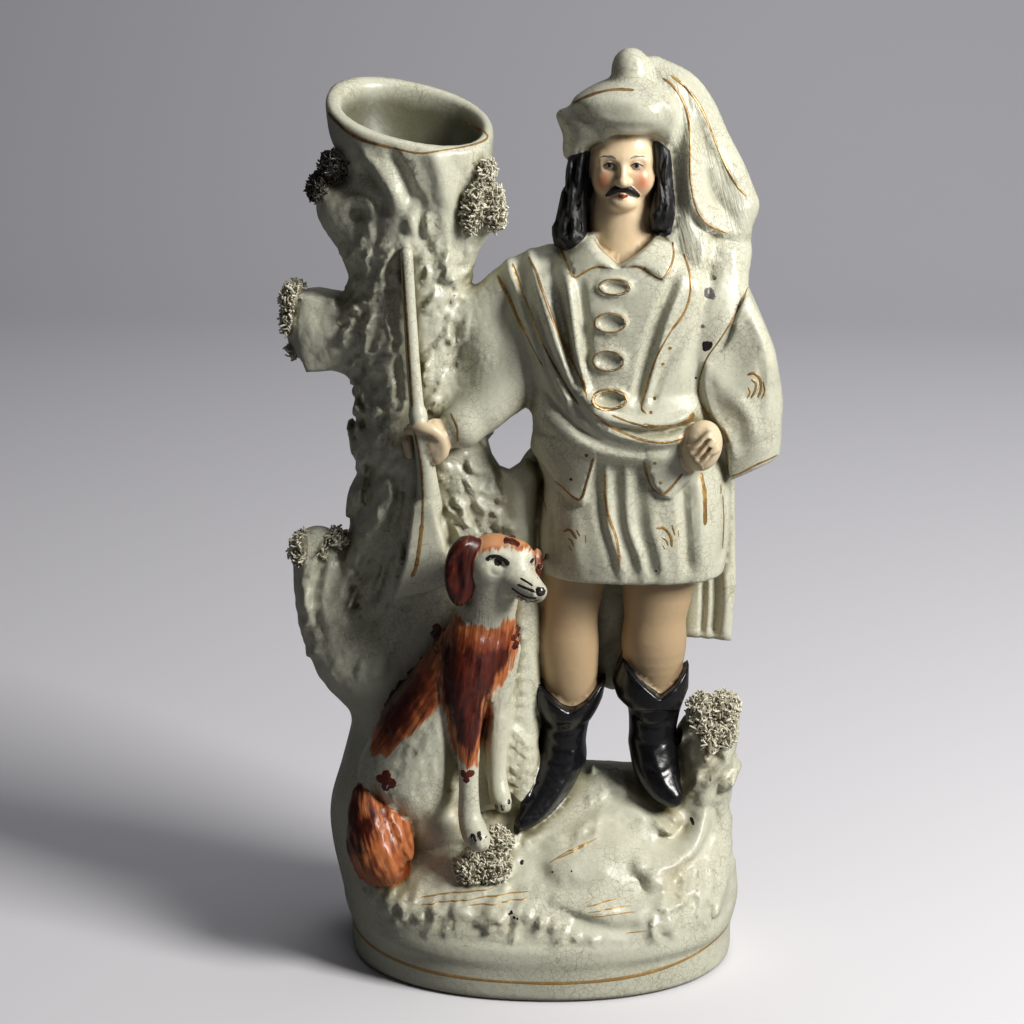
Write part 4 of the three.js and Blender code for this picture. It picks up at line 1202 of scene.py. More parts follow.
def ribbon(paint, width, points, seed=0, taper=1.6, slope=STRAIGHT):
    """A brushed line of enamel along a curve in the front view."""
    width *= LINE_WIDTH
    line = through(points, 12)
    run = np.concatenate([[0], np.cumsum(np.hypot(*np.diff(line, axis=0).T))])
    count = max(3, int(run[-1] / 0.45) + 1)
    stops = np.linspace(0, run[-1], count)
    xs, zs = np.interp(stops, run, line[:, 0]), np.interp(stops, run, line[:, 1])
    tx, tz = np.gradient(xs), np.gradient(zs)
    size = np.hypot(tx, tz)
    tx, tz = tx / size, tz / size
    wobble = np.interp(stops, np.linspace(0, run[-1], 12), np.random.default_rng(seed + int(run[-1] * 10)).uniform(0.8, 1.15, 12))
    ends = np.clip(np.minimum(stops, run[-1] - stops) / taper + 0.25, 0, 1) ** 0.6
    verts, faces = films.setdefault(paint, ([], []))
    last = None
    for x, z, ax, az, w in zip(xs, zs, tx, tz, width * 0.5 * wobble * ends):
        row = [on_skin(x - az * w * s, z + ax * w * s, lift, slope) for s, lift in ((-1, -0.08), (-0.6, 0.07), (0, 0.1), (0.6, 0.07), (1, -0.08))]
        if any(p is None for p in row) or max(p.y for p in row) - min(p.y for p in row) > 4:
            last = None
            continue
        start = len(verts)
        verts.extend(row)
        if last is not None and (verts[last + 2] - row[2]).length < 4:
            faces.extend((last + i, start + i, start + i + 1, last + i + 1) for i in range(4))
        last = start


def blot(paint, centre, lobes, seed=0, slope=STRAIGHT):
    """A dab of enamel made of one or more overlapping round lobes [dx, dz, radius]."""
    verts, faces = films.setdefault(paint, ([], []))
    dice = random.Random(seed)
    spokes, rings = 28, (0.0, 0.35, 0.7, 0.92, 1.0)
    lifts = (0.11, 0.11, 0.1, 0.07, -0.08)
    reach = []
    for i in range(spokes):
        a = 2 * math.pi * i / spokes
        far = 0.1
        for dx, dz, r in lobes:
            b = dx * math.cos(a) + dz * math.sin(a)
            inner = r * r - (dx * dx + dz * dz - b * b)
            if inner > 0:
                far = max(far, b + math.sqrt(inner))
        reach.append(far * dice.uniform(0.93, 1.07))
    start = len(verts)
    for ring, lift in zip(rings, lifts):
        for i in range(spokes):
            a = 2 * math.pi * i / spokes
            p = on_skin(centre[0] + ring * reach[i] * math.cos(a), centre[1] + ring * reach[i] * math.sin(a), lift, slope)
            verts.append(p if p is not None else verts[-1])
    for k in range(len(rings) - 1):
        for i in range(spokes):
            j = (i + 1) % spokes
            quad = (start + k * spokes + i, start + k * spokes + j, start + (k + 1) * spokes + j, start + (k + 1) * spokes + i)
            faces.append(quad if k else quad[1:])
    return start


# %% Gilding
GILT = [
    ("brown_gilt", 1.1, [[-54.3, 298.6], [-53.7, 288], [-52.3, 268], [-50.5, 240]]),
    ("brown_gilt", 1.0, [[-49.9, 231], [-47.3, 216], [-46.8, 200], [-47.2, 190]]),
    ("brown_gilt", 1.6, [[-47.2, 192], [-48.4, 182], [-49.9, 173.5], [-51.6, 169.6]]),
    ("brown_gilt", 0.9, [[-35.4, 237.2], [-32.6, 232.4], [-32.4, 226.2]]),
    ("gilt", 0.9, [[6.5, 301.8], [10.3, 297.4], [13.6, 292.6], [17.4, 294.4], [21.8, 296.6], [27, 296.4]]),
    ("gilt", 0.9, [[34.7, 296.9], [38.6, 297.0], [43, 294.8], [47.6, 292.4], [50.6, 295.6], [52.4, 300.5], [52, 305.6]]),
    ("gilt", 1.4, [[-17.8, 290.6], [-13.4, 283], [-9.4, 274.6], [-6, 269]]),
    ("brown_gilt", 0.6, [[-6, 269], [-3, 264], [1.3, 257]]),
    ("gilt", 0.9, [[-11.7, 295.5], [-8, 286.5], [-4, 278], [1, 266.4]]),
    ("brown_gilt", 0.8, [[1, 266.4], [6.4, 256.8], [12, 248], [16, 243]]),
    ("brown_gilt", 1.0, [[-5.1, 298.5], [-1.2, 291.8], [2.6, 283], [7, 272.3], [11.4, 262.8], [16, 254.4], [18.8, 248]]),
    ("gilt", 0.9, [[22.1, 240.5], [27, 236], [33.2, 232.8], [40.4, 230.2], [47.6, 228.9], [53.4, 229], [57.6, 230.6]]),
    ("gilt", 0.7, [[29.2, 239.6], [35.6, 237.3], [42.3, 235.6]]),
    ("gilt", 1.9, [[41, 235.8], [48.9, 234.9], [56, 235.4], [59.8, 237], [61.2, 239.4]]),
    ("gilt", 0.8, [[17.4, 254], [19.6, 246]]),
    ("gilt", 0.9, [[56.4, 301.2], [58.8, 294], [59.2, 287], [57, 279.4], [52, 272.4]]),
    ("brown_gilt", 0.7, [[52, 272.4], [47.4, 264.4], [44.2, 256]]),
    ("gilt", 0.9, [[44.2, 256], [41.8, 247.4], [40.8, 242], [43, 240]]),
    ("brown_gilt", 0.7, [[82, 287], [77, 277.6], [71.4, 268.4], [66, 260.4], [63.4, 252], [63.2, 245.4], [65, 240.4]]),
    ("brown_gilt", 1.3, [[64.6, 241], [69, 236.6], [73.6, 231.6], [75.4, 224.4], [75.2, 216], [76.4, 211.4]]),
    ("brown_gilt", 0.8, [[76.4, 211.4], [81, 213.4], [87.4, 217], [95.4, 219.6]]),
    ("brown_gilt", 1.0, [[1.0, 215.2], [4, 211.4], [9.6, 207.4], [15.2, 203.8], [17.4, 204.8], [19, 210], [22, 221.6]]),
    ("brown_gilt", 1.0, [[41.8, 220.8], [43.2, 214], [45.6, 209], [49, 206.8], [52.4, 209], [57.4, 215]]),
    ("gilt", 1.0, [[26.6, 214.6], [26.7, 206], [28.4, 197], [31.4, 188.4], [33, 179]]),
    ("gilt", 1.5, [[64.7, 214.3], [66.3, 206], [66.8, 193.3]]),
    ("brown_gilt", 0.5, [[72.9, 208.1], [73, 203.9]]),
    ("brown_gilt", 0.45, [[73.8, 203.3], [74.4, 193], [74.2, 180.5]]),
    ("brown_gilt", 0.5, [[0.4, 208], [0.8, 201], [2.8, 196]]),
    ("brown_gilt", 0.9, [[6.9, 355.4], [12.5, 359.2], [18.1, 362.2], [25.2, 364.3], [30.6, 364.9], [36.1, 364.7]]),
    ("brown_gilt", 1.0, [[47.2, 368.6], [50.8, 366], [54.6, 361.1], [57, 355], [58.1, 348]]),
    ("gilt", 0.7, [[58.1, 348], [58.2, 340], [58.4, 331.8], [59.6, 323.6]]),
    ("brown_gilt", 0.9, [[59.6, 323.6], [62, 317], [66.2, 312], [73.8, 308.6]]),
    ("gilt", 1.0, [[50.3, 369.7], [55.3, 365.8], [60.8, 359.6], [64.6, 352.6]]),
    ("gilt", 0.8, [[64.6, 352.6], [68.2, 343.8], [72.4, 334.2], [76.4, 327.4], [81, 322.4]]),
    ("brown_gilt", 1.1, [[9.8, 189.6], [12.6, 190.8], [15.5, 187.6]]),
    ("brown_gilt", 0.8, [[15.5, 191.1], [16.8, 188.6]]),
    ("brown_gilt", 0.7, [[11.7, 187.2], [13.2, 186.6], [14.4, 184.3]]),
    ("brown_gilt", 0.6, [[12.1, 184], [13.7, 182.2]]),
    ("brown_gilt", 0.5, [[19, 189.3], [19.2, 186]]),
    ("brown_gilt", 1.2, [[47.3, 193], [50.3, 192.8], [53, 189.4], [53.6, 185.3]]),
    ("brown_gilt", 0.8, [[53.5, 194.1], [54.7, 190]]),
    ("brown_gilt", 0.5, [[56, 191.8], [56.2, 189]]),
    ("brown_gilt", 0.8, [[49.4, 189.4], [51.2, 188], [52.1, 185.8]]),
    ("brown_gilt", 0.6, [[49.8, 186.2], [50.9, 184.3]]),
    ("gilt", 1.1, [[82.3, 254.4], [84.8, 255], [87.2, 252.6], [87.7, 248.6], [86.6, 245.2]]),
    ("gilt", 0.9, [[83.8, 252.6], [85.6, 251], [85.3, 247.8], [83.8, 245.2]]),
    ("gilt", 0.8, [[82.6, 249.6], [83.4, 247.4], [82.3, 245.1]]),
    ("gilt", 0.6, [[88.6, 251.6], [89.2, 247.6], [88, 244.5]]),
]
for number, (paint, width, points) in enumerate(GILT):
    ribbon(paint, width, points, number)
for number, (centre, radii) in enumerate(BUTTONS):
    ribbon("gilt" if number in (0, 3) else "brown_gilt", (0.9, 0.9, 0.8, 1.3)[number], oval(centre, radii, 14), 60 + number, 0.01)
for centre in ([51.6, 265.4], [48.9, 259.1], [45.9, 245.5], [44.6, 240.4], [46.4, 220], [48.8, 211.6]):
    blot("gilt", centre, [[0, 0, 0.75]], int(centre[0]))
ribbon("brown_gilt", 1.2, [[-83, 361.6], [-79.5, 357.4], [-74.1, 352.3], [-66.5, 348.5], [-57, 346]], 50, 1.6, FROM_ABOVE)
ribbon("brown_gilt", 0.8, [[-57, 346], [-46.1, 343.9], [-35.7, 345.6], [-26.2, 348.5], [-21.2, 351.2], [-19.8, 353.2],
                           [-20.9, 355.6], [-24.5, 359.2], [-29.8, 362.4]], 51, 1.6, FROM_ABOVE)
foot_line = []
for degrees in range(-172, -7, 4):
    turn = math.cos(math.radians(degrees))
    foot_line.append([80.6 * math.copysign(abs(turn) ** 0.93, turn), 9.0 + 4.6 * turn**4 + 3.4 * max(turn, 0) ** 2])
ribbon("ochre", 1.3, foot_line, 70)
for number, points in enumerate([
    [[5.5, 52], [12.8, 55.8], [24.8, 60]], [[8.8, 53.5], [16.1, 56.4], [22.6, 59.1]], [[21.9, 36.9], [30.8, 37.8], [39.3, 38]],
    [[23.5, 35.3], [31.6, 35.7], [40.9, 36]], [[21.4, 38.8], [27.4, 39.7], [33.9, 40.6]], [[37.5, 27.9], [45.9, 28.7]],
    [[-47.9, 38.3], [-32.5, 41.4], [-17, 43.5]], [[-46.8, 36], [-29.8, 39.6], [-2.9, 42.5]], [[-26.8, 37.9], [-14.2, 39.2], [-2.8, 40.7]],
]):
    ribbon("ochre", 0.42, points, 240 + number, 4)
print("gilding laid:", sum(len(faces) for _, faces in films.values()), "faces")

# %% Enamels
for number, (width, points) in enumerate([
    (1.7, [[-19.8, 182.8], [-16.8, 184.2], [-13.4, 183.4], [-10.6, 181]]),
    (1.3, [[-1.5, 185.4], [-1.1, 183], [-2.3, 180.8]]),
    (1.0, [[-9.5, 171.9], [-6.5, 170], [-3.5, 168.8], [0.6, 168.8]]),
    (1.0, [[-7.1, 173.8], [-3, 172.4], [0.4, 171.3]]),
    (0.8, [[-6, 176.3], [-3.4, 175], [-1.0, 173.6]]),
    (1.1, [[-7.4, 168.4], [-3, 166.9], [0.8, 167.2]]),
    (1.7, [[-25.6, 68.4], [-24.4, 65]]),
    (1.6, [[-23, 69.2], [-22, 66]]),
    (1.3, [[-20.6, 69], [-19.8, 66.8]]),
    (1.6, [[-16.6, 75.8], [-16.4, 73]]),
    (1.4, [[-14.2, 76.4], [-13.8, 73.6]]),
    (1.0, [[-11.8, 78], [-11.2, 76.2]]),
    (1.3, [[63.2, 63.8], [64.6, 61.6]]),
    (1.4, [[70.2, 58.8], [71, 55.4]]),
]):
    ribbon("black_enamel", width, points, 100 + number, 0.5)
blot("black_enamel", [-15, 181.9], [[0, 0, 1.8]], 1)
blot("black_enamel", [2.2, 171.2], [[0, 0, 1.9], [-1.0, 0.8, 1.3]], 2)
blot("black_enamel", [66.2, 265.7], [[0, 0, 2.0], [1.2, 0.6, 1.2], [-0.6, -1.2, 1.2], [-1, 0.8, 1.0]], 3)
blot("grey_enamel", [66.8, 286], [[0, 0, 2.2], [1.4, -1.2, 1.2], [-1.2, 1.0, 1.2]], 4)
blot("grey_enamel", [68.8, 291.6], [[0, 0, 0.8], [-0.5, 0.6, 0.5]], 5)
blot("grey_enamel", [64.4, 273.4], [[0, 0, 0.8]], 6)
blot("black_enamel", [62.0, 252.8], [[0, 0, 0.5]], 7)
blot("black_enamel", [47.4, 174.9], [[0, 0, 0.5]], 8)
blot("maroon_enamel", [19.2, 222.6], [[0, 0, 0.8]], 9)
blot("maroon_enamel", [12.9, 211.6], [[0, 0, 0.7]], 10)
for number, (x, z, r) in enumerate([(-6, 51.3, 0.9), (-9.2, 36.6, 0.7), (-8, 34.9, 0.7), (-10, 36, 0.5), (6.9, 49.3, 0.4),
                                    (14.7, 50.2, 0.4), (-6.6, 34.6, 0.5)]):
    blot("black_enamel", [x, z], [[0, 0, r]], 20 + number)
blot("maroon_enamel", [-10.2, 188.4], [[-2.2, 0.6, 1.4], [0.4, 0.5, 1.6], [2.3, -0.7, 1.3]], 30, FROM_ABOVE)
blot("maroon_enamel", [-42.7, 142.6], [[0, 1.8, 2.0], [-1.0, -1, 2.0], [1.5, -1.8, 1.6]], 31)
blot("maroon_enamel", [1.3, 177.8], [[0, 0, 1.5], [0.3, -1.4, 1.2]], 32)
blot("maroon_enamel", [-9.3, 144.4], [[0, 1.9, 1.6], [0.3, -1.6, 1.7]], 33)
blot("maroon_enamel", [-61.4, 87.2], [[0.2, 2.6, 2.1], [-2.5, 0.4, 2.0], [2.6, -0.8, 2.2], [-0.2, -2.6, 1.9]], 34)
blot("maroon_enamel", [-28.2, 91.2], [[-1.6, 0.9, 1.7], [1.7, 1.0, 1.7], [0, -1.9, 1.5]], 35)

# %% The face, painted as plainly as it is modelled
for side in (-1, 1):
    eye = FACE_X + side * EYE_X
    ribbon("black_enamel", 0.55, [[eye - side * 2.4, EYE_Z + 0.1], [eye, EYE_Z + 1.25], [eye + side * 2.5, EYE_Z]], 200)
    ribbon("grey_enamel", 0.25, [[eye - side * 1.7, EYE_Z - 1.2], [eye, EYE_Z - 1.55], [eye + side * 1.8, EYE_Z - 1.1]], 201)
    blot("white_enamel", [eye, EYE_Z - 0.1], [[-0.9, -0.1, 0.95], [0.9, -0.1, 0.95], [0, 0, 1.1]], 202)
    for stroke in range(4):
        start = eye - side * (2.6 - 1.1 * stroke)
        ribbon("grey_enamel", 0.30, [[start, BROW_Z + 0.2 + 0.2 * stroke], [start + side * 1.5, BROW_Z + 1.3],
                                     [start + side * 3.0, BROW_Z + 1.4 - 0.3 * stroke]], 210 + stroke, 0.8)
blot("red_enamel", [FACE_X, MOUTH_Z - 0.3], [[-1.3, 0, 0.75], [0, -0.1, 1.0], [1.3, 0, 0.75]], 220)
PUPILS = {}
for side in (-1, 1):
    eye = FACE_X + side * EYE_X
    verts, faces = films.setdefault("pupils", ([], []))
    first = blot("pupils", [eye, EYE_Z + 0.15], [[0, 0, 0.85]], 230)
    for k in range(first, len(verts)):
        verts[k] = verts[k] + Vector((0, -0.09, 0))
print("films:", {name: len(faces) for name, (_, faces) in films.items()})

# %% [markdown]
# ## Glaze and colours
# Four effects are shared by the materials, so each is a small node group: the fine crackle of an old glaze, dirt
# and painted shade in the creases, a brush that leaves streaks and a ragged edge, and the patchy wear of thin gilding.

# %% Tools for node trees
def socket(sockets, key):
    """A socket by its identifier, or else by its name."""
    for entry in sockets:
        if entry.identifier == key:
            return entry
    return sockets[key]


def node(tree, kind, links=(), out=0, **settings):
    """One node with its settings and inputs; gives back one of its outputs."""
    made = tree.nodes.new(kind)
    made.location = (190 * (len(tree.nodes) % 9), -230 * (len(tree.nodes) // 9))
    for name, value in settings.items():
        setattr(made, name, value)
    for key, value in dict(links).items():
        entry = made.inputs[key] if isinstance(key, int) else socket(made.inputs, key)
        if isinstance(value, bpy.types.NodeSocket):
            tree.links.new(value, entry)
        else:
            entry.default_value = value
    return made.outputs[out] if isinstance(out, int) else socket(made.outputs, out)


def group(name, inputs, output, kind="ShaderNodeTree"):
    """An empty node group with named inputs [name, type, value] and one named output."""
    tree = bpy.data.node_groups.new(name, kind)
    for title, sort, value in inputs:
        entry = tree.interface.new_socket(name=title, in_out="INPUT", socket_type="NodeSocket" + sort)
        if value is not None:
            entry.default_value = value
    tree.interface.new_socket(name=output[0], in_out="OUTPUT", socket_type="NodeSocket" + output[1])
    tree.nodes.new("NodeGroupInput")
    tree.nodes.new("NodeGroupOutput")
    return tree


def given(tree, name):
    """What comes in to a group under a name."""
    return tree.nodes["Group Input"].outputs[name]


def gives(tree, value):
    """What a group hands out."""
    tree.links.new(value, tree.nodes["Group Output"].inputs[0])


def use(tree, shared, links=()):
    """Uses a shared group inside a tree."""
    return node(tree, "ShaderNodeGroup", links, node_tree=shared)


def attribute(tree, name, out="Fac"):
    return node(tree, "ShaderNodeAttribute", out=out, attribute_name=name)


def ramp(tree, value, low, high, to_low=0.0, to_high=1.0):
    """A value carried smoothly from one range to another."""
    return node(tree, "ShaderNodeMapRange", {"Value": value, "From Min": low, "From Max": high, "To Min": to_low, "To Max": to_high})


def mix(tree, factor, first, second, how="MIX"):
    """One colour laid over another."""
    return node(tree, "ShaderNodeMix", {"Factor_Float": factor, "A_Color": first, "B_Color": second}, "Result_Color",
                data_type="RGBA", blend_type=how)


def sums(tree, how, first, second):
    return node(tree, "ShaderNodeMath", {0: first, 1: second}, operation=how)


def cloud(tree, place, scale, detail=3.0, rough=0.55):
    """Soft noise between about 0.3 and 0.7."""
    return node(tree, "ShaderNodeTexNoise", {"Vector": place, "Scale": scale, "Detail": detail, "Roughness": rough}, "Fac")


# %% Shared effects
crackle = group("crackle", [("Place", "Vector", None), ("Plates per metre", "Float", 430.0), ("Line", "Float", 0.06)], ("Mask", "Float"))
bent = node(crackle, "ShaderNodeVectorMath", {0: node(crackle, "ShaderNodeTexNoise", {"Vector": given(crackle, "Place"), "Scale": 700.0}, "Color"),
                                              1: (0.0009, 0.0009, 0.0009)}, operation="MULTIPLY")
bent = node(crackle, "ShaderNodeVectorMath", {0: given(crackle, "Place"), 1: bent}, operation="ADD")
edges = node(crackle, "ShaderNodeTexVoronoi", {"Vector": bent, "Scale": given(crackle, "Plates per metre")}, "Distance", feature="DISTANCE_TO_EDGE")
fine_line = node(crackle, "ShaderNodeMapRange", {"Value": edges, "From Min": 0.0, "From Max": given(crackle, "Line"), "To Min": 1.0, "To Max": 0.0})
gives(crackle, sums(crackle, "MULTIPLY", fine_line, ramp(crackle, cloud(crackle, given(crackle, "Place"), 45.0), 0.36, 0.60)))

# Dirt and painted shade: a mask that darkens the creases, where dirt gathers and shade falls.
grime = group("grime", [("Place", "Vector", None), ("Recess", "Float", 0.0)], ("Mask", "Float"))
patchy = ramp(grime, cloud(grime, given(grime, "Place"), 60.0, 4.0), 0.36, 0.66, 0.35, 1.15)
gives(grime, sums(grime, "MULTIPLY", ramp(grime, given(grime, "Recess"), 0.28, 0.82), patchy))

brushed = group("brushed edge", [("Stroke", "Vector", None), ("Depth", "Float", 0.0), ("Ragged", "Float", 3.0), ("Soft", "Float", 0.5)], ("Mask", "Float"))
hairs = node(brushed, "ShaderNodeVectorMath", {0: given(brushed, "Stroke"), 1: (620.0, 80.0, 75.0)}, operation="MULTIPLY")
streak = node(brushed, "ShaderNodeTexNoise", {"Vector": hairs, "Scale": 1.0, "Detail": 2.0, "Roughness": 0.6}, "Fac")
ragged = sums(brushed, "MULTIPLY", sums(brushed, "SUBTRACT", streak, 0.5), given(brushed, "Ragged"))
reach = sums(brushed, "ADD", given(brushed, "Depth"), ragged)
gives(brushed, node(brushed, "ShaderNodeMapRange", {"Value": reach, "From Min": sums(brushed, "MULTIPLY", given(brushed, "Soft"), -1.0), "From Max": given(brushed, "Soft")}))

wear = group("wear", [("Place", "Vector", None), ("Amount", "Float", 0.5)], ("Mask", "Float"))
specks = cloud(wear, given(wear, "Place"), 700.0, 4.0, 0.7)
patches = cloud(wear, given(wear, "Place"), 110.0, 2.0)
blend = sums(wear, "ADD", sums(wear, "MULTIPLY", specks, 0.5), sums(wear, "MULTIPLY", patches, 0.5))
edge_at = sums(wear, "ADD", 0.36, sums(wear, "MULTIPLY", given(wear, "Amount"), 0.28))
gives(wear, node(wear, "ShaderNodeMapRange", {"Value": blend, "From Min": sums(wear, "SUBTRACT", edge_at, 0.05), "From Max": sums(wear, "ADD", edge_at, 0.05),
                                              "To Min": 1.0, "To Max": 0.0}))
print("shared groups:", [g.name for g in bpy.data.node_groups])


# %% The glaze of the casting
def new_material(name):
    """A material with its tree and its shader."""
    made = bpy.data.materials.new(name)
    made.use_nodes = True
    return made, made.node_tree, made.node_tree.nodes["Principled BSDF"]


glaze, tree, shader = new_material("painted glaze")
place = node(tree, "ShaderNodeTexCoord", out="Object")
strokes = attribute(tree, "brush", "Vector")
recess_here = attribute(tree, "recess")
cream = mix(tree, ramp(tree, cloud(tree, place, 28.0), 0.38, 0.64), (0.68, 0.675, 0.535, 1), (0.60, 0.60, 0.475, 1))
cream = mix(tree, ramp(tree, cloud(tree, place, 420.0, 4.0, 0.7), 0.45, 0.75, 0.0, 0.28), cream, (0.40, 0.38, 0.275, 1))
# Glaze pooling and painted shade: the cream turns olive deep in the hollows.
pooled_glaze_and_shade = ramp(tree, attribute(tree, "hollow"), 0.30, 0.95, 0.0, 0.75)
cream = mix(tree, pooled_glaze_and_shade, cream, (0.27, 0.25, 0.13, 1))
# Dirt and painted shade: the glaze is darkened brown in its creases.
soil_and_shade = use(tree, grime, {"Place": place, "Recess": recess_here})
body = mix(tree, sums(tree, "MULTIPLY", soil_and_shade, 0.9), cream, (0.12, 0.095, 0.048, 1))
body = mix(tree, sums(tree, "MULTIPLY", use(tree, crackle, {"Place": place}), 0.60), body, (0.24, 0.20, 0.11, 1))
large = use(tree, crackle, {"Place": place, "Plates per metre": 130.0, "Line": 0.024})
body = mix(tree, sums(tree, "MULTIPLY", large, 0.45), body, (0.20, 0.15, 0.08, 1))
# Painted shade: the inside of the mouth is darkened to a deep olive.
body = mix(tree, sums(tree, "MULTIPLY", attribute(tree, "well"), 0.9), body, (0.085, 0.082, 0.042, 1))
brown = ramp(tree, cloud(tree, place, 90.0, 4.0), 0.36, 0.62, 0.25, 1.0)
body = mix(tree, sums(tree, "MULTIPLY", sums(tree, "MULTIPLY", attribute(tree, "tan"), brown), 0.5), body, (0.40, 0.30, 0.145, 1))
body = mix(tree, sums(tree, "MULTIPLY", sums(tree, "MULTIPLY", attribute(tree, "stain"), brown), 0.55), body, (0.30, 0.15, 0.085, 1))

rust_depth = attribute(tree, "rust")
rust = use(tree, brushed, {"Stroke": strokes, "Depth": rust_depth, "Ragged": 8.0, "Soft": 0.5})
thick = use(tree, brushed, {"Stroke": strokes, "Depth": sums(tree, "SUBTRACT", rust_depth, 2.6), "Ragged": 15.0, "Soft": 1.8})
deep = use(tree, brushed, {"Stroke": strokes, "Depth": attribute(tree, "deep"), "Ragged": 11.0, "Soft": 1.4})
coat = mix(tree, thick, (0.52, 0.17, 0.055, 1), (0.21, 0.045, 0.016, 1))
coat = mix(tree, attribute(tree, "wash"), coat, (0.60, 0.29, 0.13, 1))
dark_coat = mix(tree, ramp(tree, cloud(tree, node(tree, "ShaderNodeVectorMath", {0: strokes, 1: (5.5, 3.0, 0.7)}, operation="MULTIPLY"), 90.0), 0.36, 0.66),
                (0.034, 0.005, 0.004, 1), (0.108, 0.017, 0.008, 1))
coat = mix(tree, deep, coat, dark_coat)
body = mix(tree, rust, body, coat)

# Flesh: its base is painted light to stand for the lit face (painted light), and it turns darker on the legs (painted
# shade).
skin_tone = mix(tree, ramp(tree, cloud(tree, place, 120.0), 0.40, 0.62), (0.92, 0.71, 0.46, 1), (0.86, 0.65, 0.41, 1))
skin_tone = mix(tree, sums(tree, "MULTIPLY", attribute(tree, "blush"), 0.8), skin_tone, (0.62, 0.14, 0.045, 1))
skin_tone = mix(tree, attribute(tree, "leg_shade"), skin_tone, (0.50, 0.355, 0.205, 1))
skin_tone = mix(tree, attribute(tree, "hands"), skin_tone, (0.74, 0.60, 0.40, 1))
# Dirt and painted shade in the creases of the flesh, such as between the fingers.
skin_tone = mix(tree, sums(tree, "MULTIPLY", soil_and_shade, 0.6), skin_tone, (0.20, 0.11, 0.05, 1))
body = mix(tree, ramp(tree, attribute(tree, "flesh"), -0.18, 0.18), body, skin_tone)
pitch = mix(tree, ramp(tree, cloud(tree, place, 300.0), 0.55, 0.8, 0.0, 0.4), (0.0065, 0.0065, 0.008, 1), (0.04, 0.037, 0.036, 1))
black_here = ramp(tree, attribute(tree, "black"), -0.18, 0.18)
body = mix(tree, black_here, body, pitch)
# Painted shade: the bed under the moss threads is a dull dark grey-brown, standing for the shade between them.
body = mix(tree, ramp(tree, attribute(tree, "moss"), -0.25, 0.25), body, (0.26, 0.235, 0.16, 1))
tree.links.new(body, shader.inputs["Base Color"])
gloss = ramp(tree, cloud(tree, place, 85.0, 4.0), 0.35, 0.7, 0.30, 0.46)
hair_height = node(tree, "ShaderNodeSeparateXYZ", {"Vector": place}, "Z")
black_gloss = ramp(tree, hair_height, 0.26, 0.29, 0.24, 0.50)
gloss = node(tree, "ShaderNodeMix", {"Factor_Float": black_here, "A_Float": gloss, "B_Float": black_gloss}, "Result_Float", data_type="FLOAT")
tree.links.new(gloss, shader.inputs["Roughness"])
waves = node(tree, "ShaderNodeTexNoise", {"Vector": place, "Scale": 210.0, "Detail": 2.0}, "Fac")
combed = node(tree, "ShaderNodeVectorMath", {0: strokes, 1: (950.0, 160.0, 100.0)}, operation="MULTIPLY")
combed = sums(tree, "MULTIPLY", cloud(tree, combed, 1.0, 2.0), sums(tree, "MULTIPLY", attribute(tree, "strand"), 2.4))
flakes = node(tree, "ShaderNodeVectorMath", {0: place, 1: (1.0, 1.0, 0.6)}, operation="MULTIPLY")
flakes = node(tree, "ShaderNodeTexVoronoi", {"Vector": flakes, "Scale": 330.0}, "Distance", feature="F1")
flakes = sums(tree, "MULTIPLY", flakes, sums(tree, "MULTIPLY", attribute(tree, "scales"), -1.5))
height = sums(tree, "ADD", sums(tree, "ADD", waves, combed), flakes)
tree.links.new(node(tree, "ShaderNodeBump", {"Strength": 0.25, "Distance": 0.0007, "Height": height}, "Normal"), shader.inputs["Normal"])
skin.materials.clear()
skin.materials.append(glaze)
for piece in (casting,):
    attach(piece, "root")
    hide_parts("spill_vase")
print("glaze ready:", len(tree.nodes), "nodes")

# %% Enamels and gilding
FINISHES = {
    "gilt": ((0.62, 0.38, 0.13), (0.33, 0.20, 0.07), 0.5, 0.36, 0.40),
    "brown_gilt": ((0.40, 0.24, 0.085), (0.20, 0.12, 0.05), 0.3, 0.40, 0.5),
    "ochre": ((0.60, 0.38, 0.13), (0.44, 0.27, 0.10), 0.3, 0.40, 0.3),
    "black_enamel": ((0.010, 0.009, 0.011), (0.030, 0.022, 0.020), 0.0, 0.18, 0.35),
    "grey_enamel": ((0.13, 0.125, 0.125), (0.22, 0.21, 0.19), 0.0, 0.25, 0.5),
    "maroon_enamel": ((0.055, 0.008, 0.007), (0.12, 0.022, 0.012), 0.0, 0.24, 0.4),
    "red_enamel": ((0.42, 0.05, 0.03), (0.33, 0.06, 0.035), 0.0, 0.22, 0.4),
    "white_enamel": ((0.56, 0.53, 0.45), (0.48, 0.45, 0.37), 0.0, 0.2, 0.4),
    "pupils": ((0.007, 0.007, 0.009), (0.015, 0.013, 0.014), 0.0, 0.12, 0.3),
}
for name, (verts, faces) in films.items():
    bright, worn, metal, rough_value, amount = FINISHES[name]
    film = bpy.data.meshes.new(name)
    used = sorted({i for face in faces for i in face})
    renumber = {old: new for new, old in enumerate(used)}
    film.from_pydata([verts[i] * 0.001 for i in used], [], [[renumber[i] for i in face] for face in faces])
    film.shade_smooth()
    made, tree, shader = new_material(name)
    place = node(tree, "ShaderNodeTexCoord", out="Object")
    tree.links.new(mix(tree, use(tree, wear, {"Place": place, "Amount": amount}), (*worn, 1), (*bright, 1)), shader.inputs["Base Color"])
    shader.inputs["Metallic"].default_value = metal
    shader.inputs["Roughness"].default_value = rough_value
    film.materials.append(made)
    layer = bpy.data.objects.new(name, film)
    bpy.context.scene.collection.objects.link(layer)
    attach(layer, "root")
    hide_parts("spill_vase")
print("films painted:", len(films))

# %% [markdown]
# ## Moss
# Moss on such figures is clay pushed through a sieve: hundreds of short blunt threads matted on a bed. Geometry
# Nodes sets them on the parts of the skin that were kept for moss, bowed and leaning every way.

